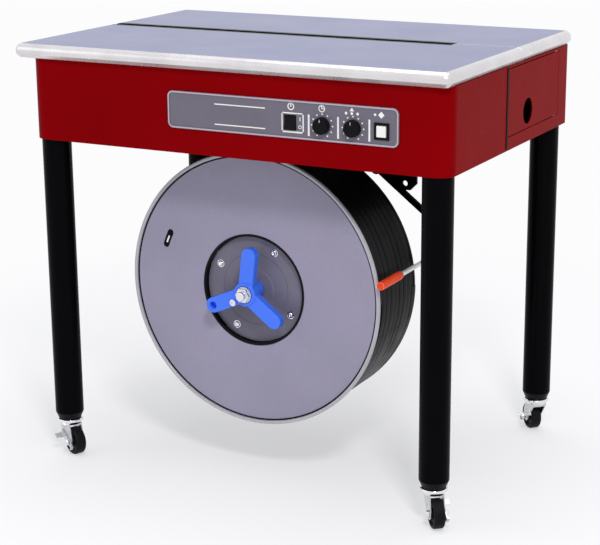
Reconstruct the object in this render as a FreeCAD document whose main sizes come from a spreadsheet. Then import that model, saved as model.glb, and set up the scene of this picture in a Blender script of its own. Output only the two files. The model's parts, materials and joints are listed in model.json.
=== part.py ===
import FreeCAD, Part
import math
import os
import Sketcher

# Table-top strapping machine on castors: steel cabinet, two-plate stainless table with a strap slot,
# four tube legs, a strap reel hung below the cabinet, and the strapping unit inside it.
# Millimetres, +Z up, +X along the slot to the right, +Y to the back,
# with the origin on the floor under the table's centre.

SIZES = [
    # table
    ("table_length", 810), ("table_depth", 560), ("table_height", 750), ("table_corner", 14),
    ("rim_depth", 24), ("rim_roll", 12), ("rim_bevel", 7), ("rim_hem", 8), ("rim_flat", 0.2),
    ("table_sheet", 2), ("rim_lip", 30),
    ("slot_width", 16), ("slot_centre", 21.6), ("slot_end_inset", 121), ("seam_gap", 0.3),
    ("rail_width", 23), ("rail_thickness", 5), ("anvil_window", 128),
    # cabinet
    ("table_overhang_across", 28), ("table_overhang_deep", 20), ("cabinet_height", 141),
    ("cabinet_shift_across", 9), ("cabinet_shift_back", 3), ("cabinet_corner", 30),
    ("cabinet_back_corner", 8),
    ("cabinet_sheet", 1.5), ("ledge_width", 14), ("base_thickness", 4), ("fit_gap", 0.3),
    ("strap_port_left", 96), ("strap_port_front", -112), ("strap_port_length", 90),
    ("strap_port_depth", 46),
    # door
    ("door_setback", 51), ("door_width", 244), ("door_foot", 18), ("door_head", 4.5), ("door_gap", 1.5),
    ("door_flange", 10), ("door_pin_inset", 10), ("door_pin_depth", 5), ("door_pin_radius", 2),
    ("door_pin_reach", 3.4), ("finger_hole_radius", 22), ("finger_hole_setback", 94),
    ("finger_hole_rise", 48.7),
    ("door_bracket", 12), ("door_bracket_thickness", 2.4),
    # lid hinges
    ("hinge_pin_radius", 1.5), ("hinge_knuckle_radius", 3.2), ("hinge_setback", 3.4), ("hinge_drop", 6.5),
    ("hinge_spread", 240), ("hinge_knuckle_length", 20), ("hinge_leaf_height", 27), ("running_gap", 0.05),
    # control panel
    ("panel_end_inset", 83), ("panel_length", 418), ("panel_height", 62), ("panel_drop", 92),
    ("panel_sheet", 1.5), ("panel_border", 1), ("panel_border_width", 3.5), ("panel_corner", 10),
    ("switch_inset", 189.5), ("switch_drop", 97.3), ("switch_width", 21), ("switch_height", 22),
    ("switch_side_gap", 0.5), ("switch_end_gap", 1.2), ("switch_thickness", 2), ("switch_proud", 2.2),
    ("switch_hub_radius", 5),
    ("knob_left_inset", 132.4), ("knob_right_inset", 78.5), ("knob_drop", 98), ("knob_radius", 14.2),
    ("knob_height", 10.2), ("spindle_radius", 3), ("spindle_length", 12),
    ("button_inset", 29), ("button_drop", 99), ("button_width", 16), ("button_height", 18),
    ("button_proud", 4.2), ("button_depth", 9), ("bezel_width", 26),
    ("bezel_height", 27), ("bezel_proud", 2), ("board_length", 226), ("board_height", 60),
    ("board_thickness", 1.6), ("block_depth", 9), ("block_width", 18), ("foot_width", 6),
    # power inlet
    ("inlet_inset", 132), ("inlet_drop", 110), ("inlet_width", 50), ("inlet_height", 28),
    ("inlet_flange", 2), ("inlet_body_width", 32), ("inlet_body_height", 24), ("inlet_depth", 26),
    ("inlet_recess_width", 25), ("inlet_recess_height", 17), ("inlet_recess_depth", 18), ("inlet_pin", 2),
    # legs and castors
    ("leg_inset", 30), ("leg_radius", 25.4), ("leg_wall", 2), ("leg_foot", 79),
    ("castor_height", 66), ("socket_foot", 19.8), ("stem_radius", 6), ("stem_length", 7),
    ("wheel_radius", 25), ("wheel_width", 20), ("castor_trail", 16), ("axle_radius", 4),
    ("axle_end", 3.2), ("fork_roof", 4), ("fork_skirt", 8),
    ("fork_cheek", 2), ("fork_inside", 22), ("fork_toe", 17), ("fork_heel", 15), ("fork_eye", 9),
    ("lever_thickness", 2), ("lever_width", 10), ("lever_reach", 28), ("lever_heel", 16),
    ("lever_tab", 15), ("lever_pad", 5), ("lever_gap", 0.3),
    # reel
    ("reel_across", 2), ("reel_floor_gap", 94.5), ("reel_head_gap", 8.5), ("reel_front", -175),
    ("flange_sheet", 2),
    ("rim_turn", 4.5), ("rim_turn_width", 5), ("flange_bore", 96),
    ("spacer_length", 148), ("spacer_radius", 97.5), ("spacer_thickness", 3), ("spacer_width", 32),
    ("spacer_foot", 26), ("hub_recess", 6), ("hub_plate_radius", 94), ("hub_plate_thickness", 3),
    ("kidney_inset", 51), ("kidney_width", 12), ("kidney_length", 24), ("coil_inset", 1.7),
    ("coil_bore", 99.3), ("strap_width", 16), ("strap_thickness", 1.4), ("strap_pitch", 18.6),
    ("strap_lift", 0.3),
    ("shaft_radius", 10), ("shaft_thread_radius", 8), ("shaft_collar_radius", 20), ("shaft_nose", 14),
    ("shaft_head", 6),
    ("nut_radius", 13.2), ("nut_thickness", 7), ("hanger_width", 84), ("hanger_thickness", 6),
    ("hanger_gap", 15), ("hanger_flange", 60), ("hanger_rib", 30), ("hanger_rib_drop", 86),
    ("handle_front", -208), ("handle_arm_width", 27), ("handle_arm_reach", 82), ("handle_arm_depth", 15),
    ("handle_hub_radius", 21), ("handle_neck_radius", 17), ("handle_hole_radius", 6.5),
    ("handle_hole_depth", 11), ("handle_hub_rise", 2),
    # brake arm
    ("arm_plane", 10), ("arm_width", 10), ("arm_thickness", 8), ("arm_pivot_across", 148),
    ("arm_pivot_drop", 56.7),
    ("arm_elbow_gap", 48.275), ("sleeve_gap", 4.301),
    ("arm_tail", 17.5), ("arm_bend", 22), ("arm_eye_radius", 11), ("arm_pin_radius", 5),
    ("arm_end_eye_radius", 8), ("cross_rod_radius", 4), ("rod_cap_radius", 6.5),
    ("rod_cap_length", 2), ("sleeve_radius", 7.3), ("sleeve_front", -189.8), ("sleeve_length", 76),
    ("bracket_thickness", 5), ("bracket_cut", 12), ("bracket_width", 98), ("bracket_left", 124),
    ("bracket_drop", 92),
    ("bracket_hole_radius", 5), ("bracket_hole_across", 200), ("bracket_hole_drop", 80.5),
    ("bracket_flange", 30), ("stop_pin_radius", 3),
    # strapping unit
    ("head_length", 140), ("head_foot_length", 160), ("head_front", -2), ("head_depth", 47),
    ("head_foot_thickness", 15), ("head_drop", 44), ("head_foot_front", -12), ("head_foot_depth", 67),
    ("slider_width", 24), ("slider_depth", 13), ("slider_spacing", 34), ("slider_floor_drop", 82),
    ("slider_drop", 11.6), ("press_drop", 15.5), ("slider_gap", 0.2),
    ("anvil_length", 104), ("anvil_depth", 52), ("anvil_thickness", 4), ("anvil_drop", 3.2),
    ("anvil_front", 14.2), ("anvil_tongue", 12), ("anvil_tongue_depth", 3.6), ("guide_length", 72),
    ("guide_front", 34), ("guide_depth", 36), ("guide_root_drop", 60), ("camshaft_radius", 9),
    ("camshaft_drop", 120), ("camshaft_reach", 88), ("cam_radius", 18), ("cam_width", 7),
    ("gearbox_left", -165), ("gearbox_length", 79), ("gearbox_front", -20), ("gearbox_depth", 80),
    ("gearbox_height", 101), ("gearbox_wall", 10), ("motor_drop", 110), ("motor_radius", 42),
    ("motor_length", 160), ("motor_foot_width", 60), ("motor_foot_inset", 25),
    ("feed_across", 132), ("feed_drop", 95), ("feed_roller_radius", 20), ("feed_roller_width", 19),
    ("feed_shaft_radius", 5), ("pinch_radius", 14), ("pinch_pin_radius", 4), ("pinch_gap", 0.8),
    ("feed_plate_left", 96), ("feed_plate_length", 76), ("feed_plate_front", 33),
    ("feed_plate_thickness", 4),
    ("feed_plate_drop", 50), ("feed_plate_foot", 40), ("feed_motor_radius", 28), ("feed_motor_length", 84),
    ("core_inset", 35.5), ("core_front", 60), ("core_length", 84), ("core_depth", 44), ("core_height", 70),
    ("coil_swell", 14), ("coil_height", 46),
    ("overrun", 4),
]

CORNERS = {
    # name: right side, back side, trail direction in degrees, side of the brake lever
    "front_left": (False, False, -25, -1),
    "front_right": (True, False, -50, 1),
    "rear_right": (True, True, 134, 1),
    "rear_left": (False, True, 200, -1),
}
LEVER_TILT = 150
SWITCH_TILT = -7
HANDLE_ARM_ANGLE = 203.3
HUB_SCREW_ANGLE = -29
KIDNEY_ANGLE = 156.6
ARM_END_ANGLE = 9.686
ARM_ELBOW_ANGLE = 17.402
FULL_TURN = 360
HANDLE_ARM_COUNT = 3
SPACER_COUNT = 4
STRAP_TURN_COUNT = 4
BIARCS_PER_TURN = 3
GAP_SAMPLE_COUNT = 48
NUT_SIDE_COUNT = 6
KNOB_SIDE_COUNT = 24
KNURL_SIDE_COUNT = 36
SMALL = 1e-6

document = FreeCAD.newDocument("StrappingMachine")
sheet = document.addObject("Spreadsheet::Sheet", "Sizes")


class Size:
    """A named size, or a sum of named sizes: the text is for expressions and the value for plain code."""

    def __init__(self, text, value):
        self.text = text
        self.value = float(value)

    def __add__(self, other):
        other = size_of(other)
        return Size(f"({self.text} + {other.text})", self.value + other.value)

    def __radd__(self, other):
        return size_of(other) + self

    def __sub__(self, other):
        other = size_of(other)
        return Size(f"({self.text} - {other.text})", self.value - other.value)

    def __rsub__(self, other):
        return size_of(other) - self

    def __mul__(self, factor):
        factor = size_of(factor)
        return Size(f"({self.text} * {factor.text})", self.value * factor.value)

    def __rmul__(self, factor):
        return self * factor

    def __truediv__(self, factor):
        factor = size_of(factor)
        return Size(f"({self.text} / {factor.text})", self.value / factor.value)

    def __neg__(self):
        return Size(f"(-{self.text})", -self.value)


def size_of(number):
    if isinstance(number, Size):
        return number
    return Size(f"({number:.9g})", number)


def fill_sheet():
    """Writes each size into its own cell and gives back the sizes by name."""
    sizes = {}
    for row, (alias, number) in enumerate(SIZES, start=1):
        sheet.set(f"A{row}", str(number))
        sheet.setAlias(f"A{row}", alias)
        sizes[alias] = Size(f"Sizes.{alias}", number)
    document.recompute()
    return type("Named", (), sizes)


n = fill_sheet()
ZERO = size_of(0)
TURN_TO = {
    "Z": FreeCAD.Rotation(),
    "X": FreeCAD.Rotation(FreeCAD.Vector(0, 1, 0), 90),
    "Y": FreeCAD.Rotation(FreeCAD.Vector(1, 0, 0), -90),
}
parts = {}


def bind(item, **sizes):
    """Ties properties to the sheet."""
    for name, number in sizes.items():
        item.setExpression(name, size_of(number).text)


def place(item, x=ZERO, y=ZERO, z=ZERO, rotation=None):
    """Places an item, with its position tied to the sheet."""
    turn = rotation or FreeCAD.Rotation()
    spot = FreeCAD.Vector(size_of(x).value, size_of(y).value, size_of(z).value)
    item.Placement = FreeCAD.Placement(spot, turn)
    for axis, number in zip("xyz", (x, y, z)):
        item.setExpression(f"Placement.Base.{axis}", size_of(number).text)
    return item


def box(low, high):
    """A block between two corners, each a triple of sizes."""
    item = document.addObject("Part::Box", "Block")
    spans = [size_of(b) - size_of(a) for a, b in zip(low, high)]
    bind(item, Length=spans[0], Width=spans[1], Height=spans[2])
    return place(item, *low)


def rod(axis, start, length, radius):
    """A cylinder from its start point along +X, +Y or +Z."""
    item = document.addObject("Part::Cylinder", "Rod")
    bind(item, Radius=radius, Height=length)
    return place(item, *start, rotation=TURN_TO[axis])


def tube(axis, start, length, outer, inner):
    """A cylinder with a bore right through."""
    shifted = list(start)
    index = "XYZ".index(axis)
    shifted[index] = shifted[index] - n.overrun
    return cut(rod(axis, start, length, outer), rod(axis, shifted, length + n.overrun * 2, inner))


def fuse(*items):
    result = document.addObject("Part::MultiFuse", "Union")
    result.Shapes = list(items)
    return result


def cut(base, *tools):
    result = document.addObject("Part::Cut", "Difference")
    result.Base = base
    result.Tool = tools[0] if len(tools) == 1 else fuse(*tools)
    return result


def common(first, second):
    result = document.addObject("Part::Common", "Overlap")
    result.Base = first
    result.Tool = second
    return result


def group(items):
    result = document.addObject("Part::Compound", "Group")
    result.Links = list(items)
    return result


def keep(name, item):
    """Names an item as one of the machine's pieces."""
    item.Label = name
    parts[name] = item
    return item


def drawn(body, role, points):
    """A closed outline on one of a body's origin planes, with every corner tied to the sheet."""
    plane = next(item for item in body.Origin.OriginFeatures if item.Role == role)
    sketch = body.newObject("Sketcher::SketchObject", "Outline")
    sketch.AttachmentSupport = [(plane, "")]
    sketch.MapMode = "FlatFace"
    corners = [(size_of(a), size_of(b)) for a, b in points]
    vectors = [FreeCAD.Vector(a.value, b.value, 0) for a, b in corners]
    count = len(corners)
    for index in range(count):
        sketch.addGeometry(Part.LineSegment(vectors[index], vectors[(index + 1) % count]), False)
    for index in range(count):
        sketch.addConstraint(Sketcher.Constraint("Coincident", index, 2, (index + 1) % count, 1))
    for index, (across, along) in enumerate(corners):
        for kind, number, axis in (("DistanceX", across, -2), ("DistanceY", along, -1)):
            if number.value == 0:
                sketch.addConstraint(Sketcher.Constraint("PointOnObject", index, 1, axis))
                continue
            place_of = sketch.addConstraint(Sketcher.Constraint(kind, index, 1, number.value))
            sketch.setExpression(f"Constraints[{place_of}]", number.text)
    return sketch


def new_body():
    return document.addObject("PartDesign::Body", "Piece")


def turned(axis, centre, profile):
    """A piece turned on a lathe: its profile is (radius, distance along the axis) pairs."""
    body = new_body()
    sketch = drawn(body, "XZ_Plane", profile)
    turn = body.newObject("PartDesign::Revolution", "Turned")
    turn.Profile = sketch
    turn.ReferenceAxis = (sketch, ["V_Axis"])
    turn.Angle = 360
    return place(body, *centre, rotation=TURN_TO[axis])


def padded(role, points, depth, rotation=None, centre=(ZERO, ZERO, ZERO)):
    """A plate of the given outline: XY plates rise in +Z, XZ plates go back in +Y."""
    body = new_body()
    pad = body.newObject("PartDesign::Pad", "Plate")
    pad.Profile = drawn(body, role, points)
    bind(pad, Length=depth)
    pad.Reversed = role == "XZ_Plane"
    return place(body, *centre, rotation=rotation)


def edges_where(shape, test):
    return [f"Edge{index}" for index, edge in enumerate(shape.Edges, start=1) if test(edge)]


def is_upright(edge):
    return edge.tangentAt(edge.FirstParameter).cross(FreeCAD.Vector(0, 0, 1)).Length < SMALL


def soften(body, radius, test, kind="Fillet"):
    """Rounds or bevels the edges of a body's last feature that pass a test."""
    document.recompute()
    last = body.Tip
    feature = body.newObject(f"PartDesign::{kind}", "Softened")
    feature.Base = (last, edges_where(last.Shape, test))
    bind(feature, **{"Radius" if kind == "Fillet" else "Size": radius})
    body.Tip = feature
    return body


def slab(low, high, corner, back_corner=None):
    """A block with rounded upright edges, with a radius of their own at the back where one is given."""
    span_x = size_of(high[0]) - size_of(low[0])
    span_y = size_of(high[1]) - size_of(low[1])
    outline = [(ZERO, ZERO), (span_x, ZERO), (span_x, span_y), (ZERO, span_y)]
    body = padded("XY_Plane", outline, size_of(high[2]) - size_of(low[2]))
    if back_corner is None:
        soften(body, corner, is_upright)
        return place(body, *low)
    back = span_y.value
    soften(body, corner, lambda edge: is_upright(edge) and abs(edge.CenterOfMass.y) < SMALL)
    soften(body, back_corner, lambda edge: is_upright(edge) and abs(edge.CenterOfMass.y - back) < SMALL)
    return place(body, *low)


# Heights and faces that several pieces share
rim_foot = n.table_height - n.rim_depth
sheet_foot = n.table_height - n.table_sheet
cabinet_foot = rim_foot - n.cabinet_height
half_length = (n.table_length - n.table_overhang_across) / 2
half_depth = (n.table_depth - n.table_overhang_deep) / 2
cabinet_left = n.cabinet_shift_across - half_length
cabinet_right = n.cabinet_shift_across + half_length
cabinet_front = n.cabinet_shift_back - half_depth
cabinet_back = n.cabinet_shift_back + half_depth
base_top = cabinet_foot + n.base_thickness
slot_front = n.slot_centre - n.slot_width / 2
slot_back = n.slot_centre + n.slot_width / 2
inner_left = cabinet_left + n.cabinet_sheet
inner_right = cabinet_right - n.cabinet_sheet
inner_front = cabinet_front + n.cabinet_sheet
inner_back = cabinet_back - n.cabinet_sheet
seam = slot_back - n.seam_gap
slot_right_end = n.table_length / 2 - n.slot_end_inset
door_front = cabinet_back - n.door_setback - n.door_width
panel_right = cabinet_right - n.panel_end_inset
panel_left = panel_right - n.panel_length
switch_across = panel_right - n.switch_inset
knobs_across = (panel_right - n.knob_left_inset, panel_right - n.knob_right_inset)
knob_rise = n.table_height - n.knob_drop
button_across = panel_right - n.button_inset
flange_edge = (cabinet_foot - n.reel_floor_gap - n.reel_head_gap) / 2
flange_radius = flange_edge - n.rim_turn_width
reel_rise = n.reel_floor_gap + flange_edge
coil_radius = flange_radius - n.coil_inset
arm_pivot_rise = cabinet_foot - n.arm_pivot_drop
head_top = n.table_height - n.head_drop
camshaft_rise = n.table_height - n.camshaft_drop


def beside_reel(gap, angle):
    """A spot beyond the reel's edge, at an angle up from the right."""
    turn = math.radians(angle)
    reach = flange_edge + n.sleeve_radius + gap
    return n.reel_across + reach * math.cos(turn), reel_rise + reach * math.sin(turn)


def leg_centre(right, back):
    """Each leg stands in a corner of the cabinet, equally far from both of its walls."""
    x = cabinet_right - n.leg_inset if right else cabinet_left + n.leg_inset
    y = cabinet_back - n.leg_inset if back else cabinet_front + n.leg_inset
    return x, y


def table_tray():
    """The whole table top before it is parted: a sheet with a rolled rim and a lip turned in under it."""
    half_x, half_y = n.table_length / 2, n.table_depth / 2
    outside = slab((-half_x, -half_y, rim_foot), (half_x, half_y, n.table_height), n.table_corner)
    top = n.rim_depth.value
    soften(outside, n.rim_roll, lambda edge: all(abs(point.Z - top) < SMALL for point in edge.Vertexes))
    soften(outside, n.rim_bevel, lambda edge: all(abs(point.Z) < SMALL for point in edge.Vertexes),
           "Chamfer")
    wall, hem = n.table_sheet, n.rim_hem
    inside = slab((hem - half_x, hem - half_y, rim_foot + wall), (half_x - hem, half_y - hem, sheet_foot),
                  n.table_corner - hem)
    lip = n.rim_lip
    mouth = box((lip - half_x, lip - half_y, rim_foot - n.overrun),
                (half_x - lip, half_y - lip, rim_foot + n.rim_depth / 2))
    return outside, cut(outside, inside, mouth)


def wide_box(front, back, left=None, right=None, low=None, high=None):
    """A block across the whole table unless its ends are given."""
    reach = n.table_length / 2 + n.overrun
    return box((left if left is not None else -reach, front, low
                if low is not None else rim_foot - n.overrun),
               (right if right is not None else reach, back, high
                if high is not None else n.table_height + n.overrun))


def build_table():
    """The fixed front plate and the hinged rear plate, parted by the strap slot."""
    outside, tray = table_tray()
    reach = n.table_depth / 2 + n.overrun
    wall = n.table_sheet
    front_half = common(tray, wide_box(-reach, seam))
    slot_cut = wide_box(slot_front, seam + n.overrun, right=slot_right_end)
    slot_wall = common(outside, wide_box(slot_front - wall, slot_front, right=slot_right_end + wall))
    seam_wall = common(outside, wide_box(seam - wall, seam, left=slot_right_end))
    end_wall = common(outside,
                      wide_box(slot_front - wall, seam, left=slot_right_end, right=slot_right_end + wall))
    keep("front_table_plate", fuse(cut(front_half, slot_cut), slot_wall, seam_wall, end_wall))

    keep("rear_table_plate", common(tray, wide_box(slot_back, reach)))
    lip_end = n.table_length / 2 - n.rim_lip
    half_window = n.anvil_window / 2
    keep("plate_stiffeners", group([
        box((left, slot_back, rim_foot), (right, slot_back + wall, sheet_foot))
        for left, right in ((-lip_end, -half_window), (half_window, lip_end))]))
    keep("lid_leaves", group([lid_leaf(outside, side) for side in (-1, 1)]))


def hinge_line():
    return cabinet_back + n.hinge_setback, rim_foot - n.hinge_drop


def hinge_middle(side):
    return n.cabinet_shift_across + n.hinge_spread * side


def lid_leaf(outside, side):
    """The middle knuckle of a hinge, with its leaf up to the rolled rim of the rear plate."""
    y, z = hinge_line()
    half = n.hinge_knuckle_length / 2 - n.fit_gap
    middle = hinge_middle(side)
    half_leaf = n.cabinet_sheet / 2
    knuckle = rod("X", (middle - half, y, z), half * 2, n.hinge_knuckle_radius)
    leaf = cut(box((middle - half, y - half_leaf, z),
                   (middle + half, y + half_leaf, rim_foot + n.rim_depth / 2)),
               outside)
    bore = rod("X", (middle - half - n.overrun, y, z), (half + n.overrun) * 2,
               n.hinge_pin_radius + n.running_gap)
    return cut(fuse(knuckle, leaf), bore)


def cabinet_leaf(side):
    """The fixed half of a hinge: a leaf on the cabinet's back wall, two lugs and the pin between them."""
    y, z = hinge_line()
    middle = hinge_middle(side)
    inner = n.hinge_knuckle_length / 2
    outer = inner * 3
    reach = n.hinge_knuckle_radius
    back = cabinet_back + n.cabinet_sheet
    leaf = box((middle - outer, cabinet_back, z - n.hinge_leaf_height),
               (middle + outer, back, z - reach * 2))
    pin = rod("X", (middle - outer + n.cabinet_sheet, y, z), (outer - n.cabinet_sheet) * 2,
              n.hinge_pin_radius)
    lugs = [box((left, cabinet_back, z - reach * 2 - n.overrun),
                (left + n.hinge_knuckle_length, y + reach, z + reach))
            for left in (middle - outer, middle + inner)]
    return fuse(leaf, pin, *lugs)


def panel_openings(low, high):
    """The panel's holes for the switch, the push button and the two knob spindles, between two depths."""
    tools = []
    for across, drop, width, height, side_gap, end_gap in (
        (switch_across, n.switch_drop, n.switch_width, n.switch_height, n.switch_side_gap,
         n.switch_end_gap),
        (button_across, n.button_drop, n.button_width, n.button_height, n.fit_gap, n.fit_gap),
    ):
        rise = n.table_height - drop
        half_w, half_h = width / 2 + side_gap, height / 2 + end_gap
        tools.append(box((across - half_w, low, rise - half_h), (across + half_w, high, rise + half_h)))
    for across in knobs_across:
        tools.append(rod("Y", (across, low, knob_rise), high - low, n.spindle_radius + n.running_gap))
    return tools


def door_pin():
    """Where the side door's upright pins stand, near its back edge."""
    return cabinet_right - n.cabinet_sheet - n.door_pin_depth, door_front + n.door_width - n.door_pin_inset


def inlet_middle():
    """Where the power inlet stands on the back wall."""
    return cabinet_left + n.inlet_inset, n.table_height - n.inlet_drop


def build_cabinet():
    """The painted sheet shell with its turned-in top ledge, the base plate, and what is fixed to them."""
    wall = n.cabinet_sheet
    ledge = wall + n.ledge_width
    clear = n.fit_gap
    shell = slab((cabinet_left, cabinet_front, cabinet_foot), (cabinet_right, cabinet_back, rim_foot),
                 n.cabinet_corner, n.cabinet_back_corner)
    inside = slab((inner_left, inner_front, cabinet_foot - n.overrun),
                  (inner_right, inner_back, rim_foot - wall),
                  n.cabinet_corner - wall, n.cabinet_back_corner - wall)
    through = box((cabinet_left + ledge, cabinet_front + ledge, cabinet_foot),
                  (cabinet_right - ledge, cabinet_back - ledge, rim_foot + n.overrun))
    door_hole = box((inner_right - n.overrun, door_front, base_top + n.door_foot),
                    (cabinet_right + n.overrun, door_front + n.door_width, rim_foot - n.door_head))
    half_w, half_h = n.inlet_body_width / 2 + clear, n.inlet_body_height / 2 + clear
    inlet_x, inlet_z = inlet_middle()
    inlet_hole = box((inlet_x - half_w, inner_back - n.overrun, inlet_z - half_h),
                     (inlet_x + half_w, cabinet_back + n.overrun, inlet_z + half_h))
    window = n.panel_border_width * 3
    window_height = n.panel_height / 2 - window
    panel_middle = n.table_height - n.panel_drop
    panel_window = box((panel_left + window, cabinet_front - n.overrun, panel_middle - window_height),
                       (panel_right - window, inner_front + n.overrun, panel_middle + window_height))
    rail_notches = [box((inner_left, front - clear, rim_foot - n.rail_thickness - clear),
                        (inner_right, front + n.rail_width + clear, rim_foot + n.overrun))
                        for front in rail_fronts()]
    keep("cabinet_shell", cut(shell, inside, through, door_hole, inlet_hole, panel_window, *rail_notches))

    plate = slab((inner_left + clear, inner_front + clear, cabinet_foot),
                 (inner_right - clear, inner_back - clear, base_top),
                 n.cabinet_corner - wall - clear, n.cabinet_back_corner - wall - clear)
    port = box((n.strap_port_left, n.strap_port_front, cabinet_foot - n.overrun),
               (n.strap_port_left + n.strap_port_length, n.strap_port_front + n.strap_port_depth,
                base_top + n.overrun))
    keep("base_plate", cut(plate, port))

    front_rail, rear_rail = rail_fronts()
    half_window = n.anvil_window / 2
    spans = ((front_rail, inner_left + clear, inner_right - clear),
             (rear_rail, inner_left + clear, -half_window),
             (rear_rail, half_window, inner_right - clear))
    rails = [box((left, front, rim_foot - n.rail_thickness), (right, front + n.rail_width, rim_foot))
             for front, left, right in spans]
    keep("slot_rails", group(rails))
    keep("hinge_leaves", group([cabinet_leaf(side) for side in (-1, 1)]))


def rail_fronts():
    """The front faces of the two rails that carry the plates along the slot."""
    return slot_front - n.rail_width, slot_back


def build_side_door():
    """The drop-forward service door with its finger hole, turned-in edges and two pivot pins."""
    clear = n.door_gap
    front, back = door_front + clear, door_front + n.door_width - clear
    low, high = base_top + n.door_foot + clear, rim_foot - n.door_head - clear
    depth = n.cabinet_sheet + n.door_flange
    wall = n.cabinet_sheet
    block = box((cabinet_right - depth, front, low), (cabinet_right, back, high))
    hollow = box((cabinet_right - depth - n.overrun, front + wall, low + wall),
                 (inner_right, back - wall, high - wall))
    hole = rod("X", (inner_right - n.overrun, door_front + n.finger_hole_setback,
                     base_top + n.finger_hole_rise),
               wall + n.overrun * 2, n.finger_hole_radius)
    x, y = door_pin()
    bores = rod("Z", (x, y, low - n.overrun), high - low + n.overrun * 2, n.door_pin_radius + n.running_gap)
    keep("side_door", cut(block, hollow, hole, bores))

    pivots = []
    half = n.door_bracket / 2
    for foot, top, pin_foot in (
        (low - n.fit_gap - n.door_bracket_thickness, low - n.fit_gap,
         low - n.fit_gap - n.door_bracket_thickness),
        (high + n.fit_gap, high + n.fit_gap + n.door_bracket_thickness,
         high + n.fit_gap - n.door_pin_reach),
    ):
        pin = rod("Z", (x, y, pin_foot), n.door_bracket_thickness + n.door_pin_reach, n.door_pin_radius)
        pivots.append(fuse(box((x - half, y - half, foot), (inner_right, y + half, top)), pin))
    keep("door_pivots", group(pivots))


def build_controls():
    """The control panel, its switch, two timer knobs and push button, and the board behind them."""
    face = cabinet_front - n.panel_sheet
    half_h = n.panel_height / 2
    panel_middle = n.table_height - n.panel_drop
    top, foot = panel_middle + half_h, panel_middle - half_h

    def upright_slab(inset, front, back):
        """A rounded plate standing on the front wall."""
        left, right = panel_left + inset, panel_right - inset
        outline = [(left, foot + inset), (right, foot + inset), (right, top - inset), (left, top - inset)]
        body = padded("XZ_Plane", outline, back - front)
        soften(body, n.panel_corner - inset, is_across)
        return place(body, ZERO, front, ZERO)

    proud = face - n.panel_border
    plate = upright_slab(ZERO, proud, cabinet_front)
    dish = upright_slab(n.panel_border_width, proud - n.overrun, face)
    keep("control_panel", cut(plate, dish, *panel_openings(face - n.overrun, cabinet_front + n.overrun)))

    half_w = n.switch_width / 2
    curve = n.switch_height * 2
    cap = box((-half_w, -n.switch_proud, -n.switch_height / 2),
              (half_w, n.switch_thickness, n.switch_height / 2))
    hub = rod("X", (-half_w, ZERO, ZERO), n.switch_width, n.switch_hub_radius)
    above_panel = box((-half_w, -n.overrun * 2, -n.switch_height), (half_w, ZERO, n.switch_height))
    rocker = fuse(cap, cut(hub, above_panel))
    dished = rod("X", (-half_w - n.overrun, -n.switch_proud - curve, ZERO), (half_w + n.overrun) * 2,
                 curve + n.switch_proud / 2)
    tilt = FreeCAD.Rotation(FreeCAD.Vector(1, 0, 0), SWITCH_TILT)
    keep("rocker_switch", place(cut(rocker, dished), switch_across, face, n.table_height - n.switch_drop,
                                tilt))

    for name, across in zip(("left_knob", "right_knob"), knobs_across):
        foot_of_knob = face - n.fit_gap
        cap = prism("Y", (across, foot_of_knob - n.knob_height, knob_rise), n.knob_height, n.knob_radius,
                    KNOB_SIDE_COUNT)
        spindle = rod("Y", (across, foot_of_knob - n.fit_gap, knob_rise), n.spindle_length,
                      n.spindle_radius)
        keep(name, fuse(cap, spindle))

    half_w, half_h = n.button_width / 2, n.button_height / 2
    button_rise = n.table_height - n.button_drop
    cap_front = face - n.button_proud
    keep("push_button", box((button_across - half_w, cap_front, button_rise - half_h),
                            (button_across + half_w, cap_front + n.button_depth, button_rise + half_h)))
    frame_w, frame_h = n.bezel_width / 2, n.bezel_height / 2
    half_w, half_h = half_w + n.fit_gap, half_h + n.fit_gap
    frame = box((button_across - frame_w, face - n.bezel_proud, button_rise - frame_h),
                (button_across + frame_w, face, button_rise + frame_h))
    hole = box((button_across - half_w, face - n.bezel_proud - n.overrun, button_rise - half_h),
               (button_across + half_w, face + n.overrun, button_rise + half_h))
    keep("button_bezel", cut(frame, hole))
    build_control_board(face - n.fit_gap * 2 + n.spindle_length)


def build_control_board(spindle_end):
    """The board behind the panel, with a block for each control and four feet on the front wall."""
    left = switch_across - n.bezel_width
    right = left + n.board_length
    front = spindle_end + n.block_depth
    foot = n.table_height - n.panel_drop - n.board_height / 2
    top = foot + n.board_height
    solids = [box((left, front, foot), (right, front + n.board_thickness, top))]
    half = n.block_width / 2
    for across in (switch_across, *knobs_across, button_across):
        solids.append(box((across - half, spindle_end, knob_rise - half),
                          (across + half, front, knob_rise + half)))
    for corner_left in (left, right - n.foot_width):
        for corner_foot in (foot, top - n.foot_width):
            solids.append(box((corner_left, inner_front, corner_foot),
                              (corner_left + n.foot_width, front, corner_foot + n.foot_width)))
    keep("control_board", fuse(*solids))


def build_power_inlet():
    """The appliance inlet on the back wall: flange, body, recess and three pins."""
    across, rise = inlet_middle()

    def block(width, height, front, back):
        return box((across - width / 2, front, rise - height / 2),
                   (across + width / 2, back, rise + height / 2))

    outer = cabinet_back + n.inlet_flange
    body = fuse(block(n.inlet_width, n.inlet_height, cabinet_back, outer),
                block(n.inlet_body_width, n.inlet_body_height, outer - n.inlet_depth, cabinet_back))
    recess_front = outer - n.inlet_recess_depth
    hollow = cut(body, block(n.inlet_recess_width, n.inlet_recess_height, recess_front, outer + n.overrun))
    pins = []
    for step, lift in ((-1, ZERO), (0, n.inlet_pin), (1, ZERO)):
        x = across + n.inlet_recess_width / 4 * step
        z = rise + lift
        pins.append(box((x - n.inlet_pin / 2, recess_front - n.inlet_pin, z - n.inlet_pin),
                        (x + n.inlet_pin / 2, outer - n.inlet_flange * 2, z + n.inlet_pin)))
    keep("power_inlet", fuse(hollow, *pins))


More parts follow.
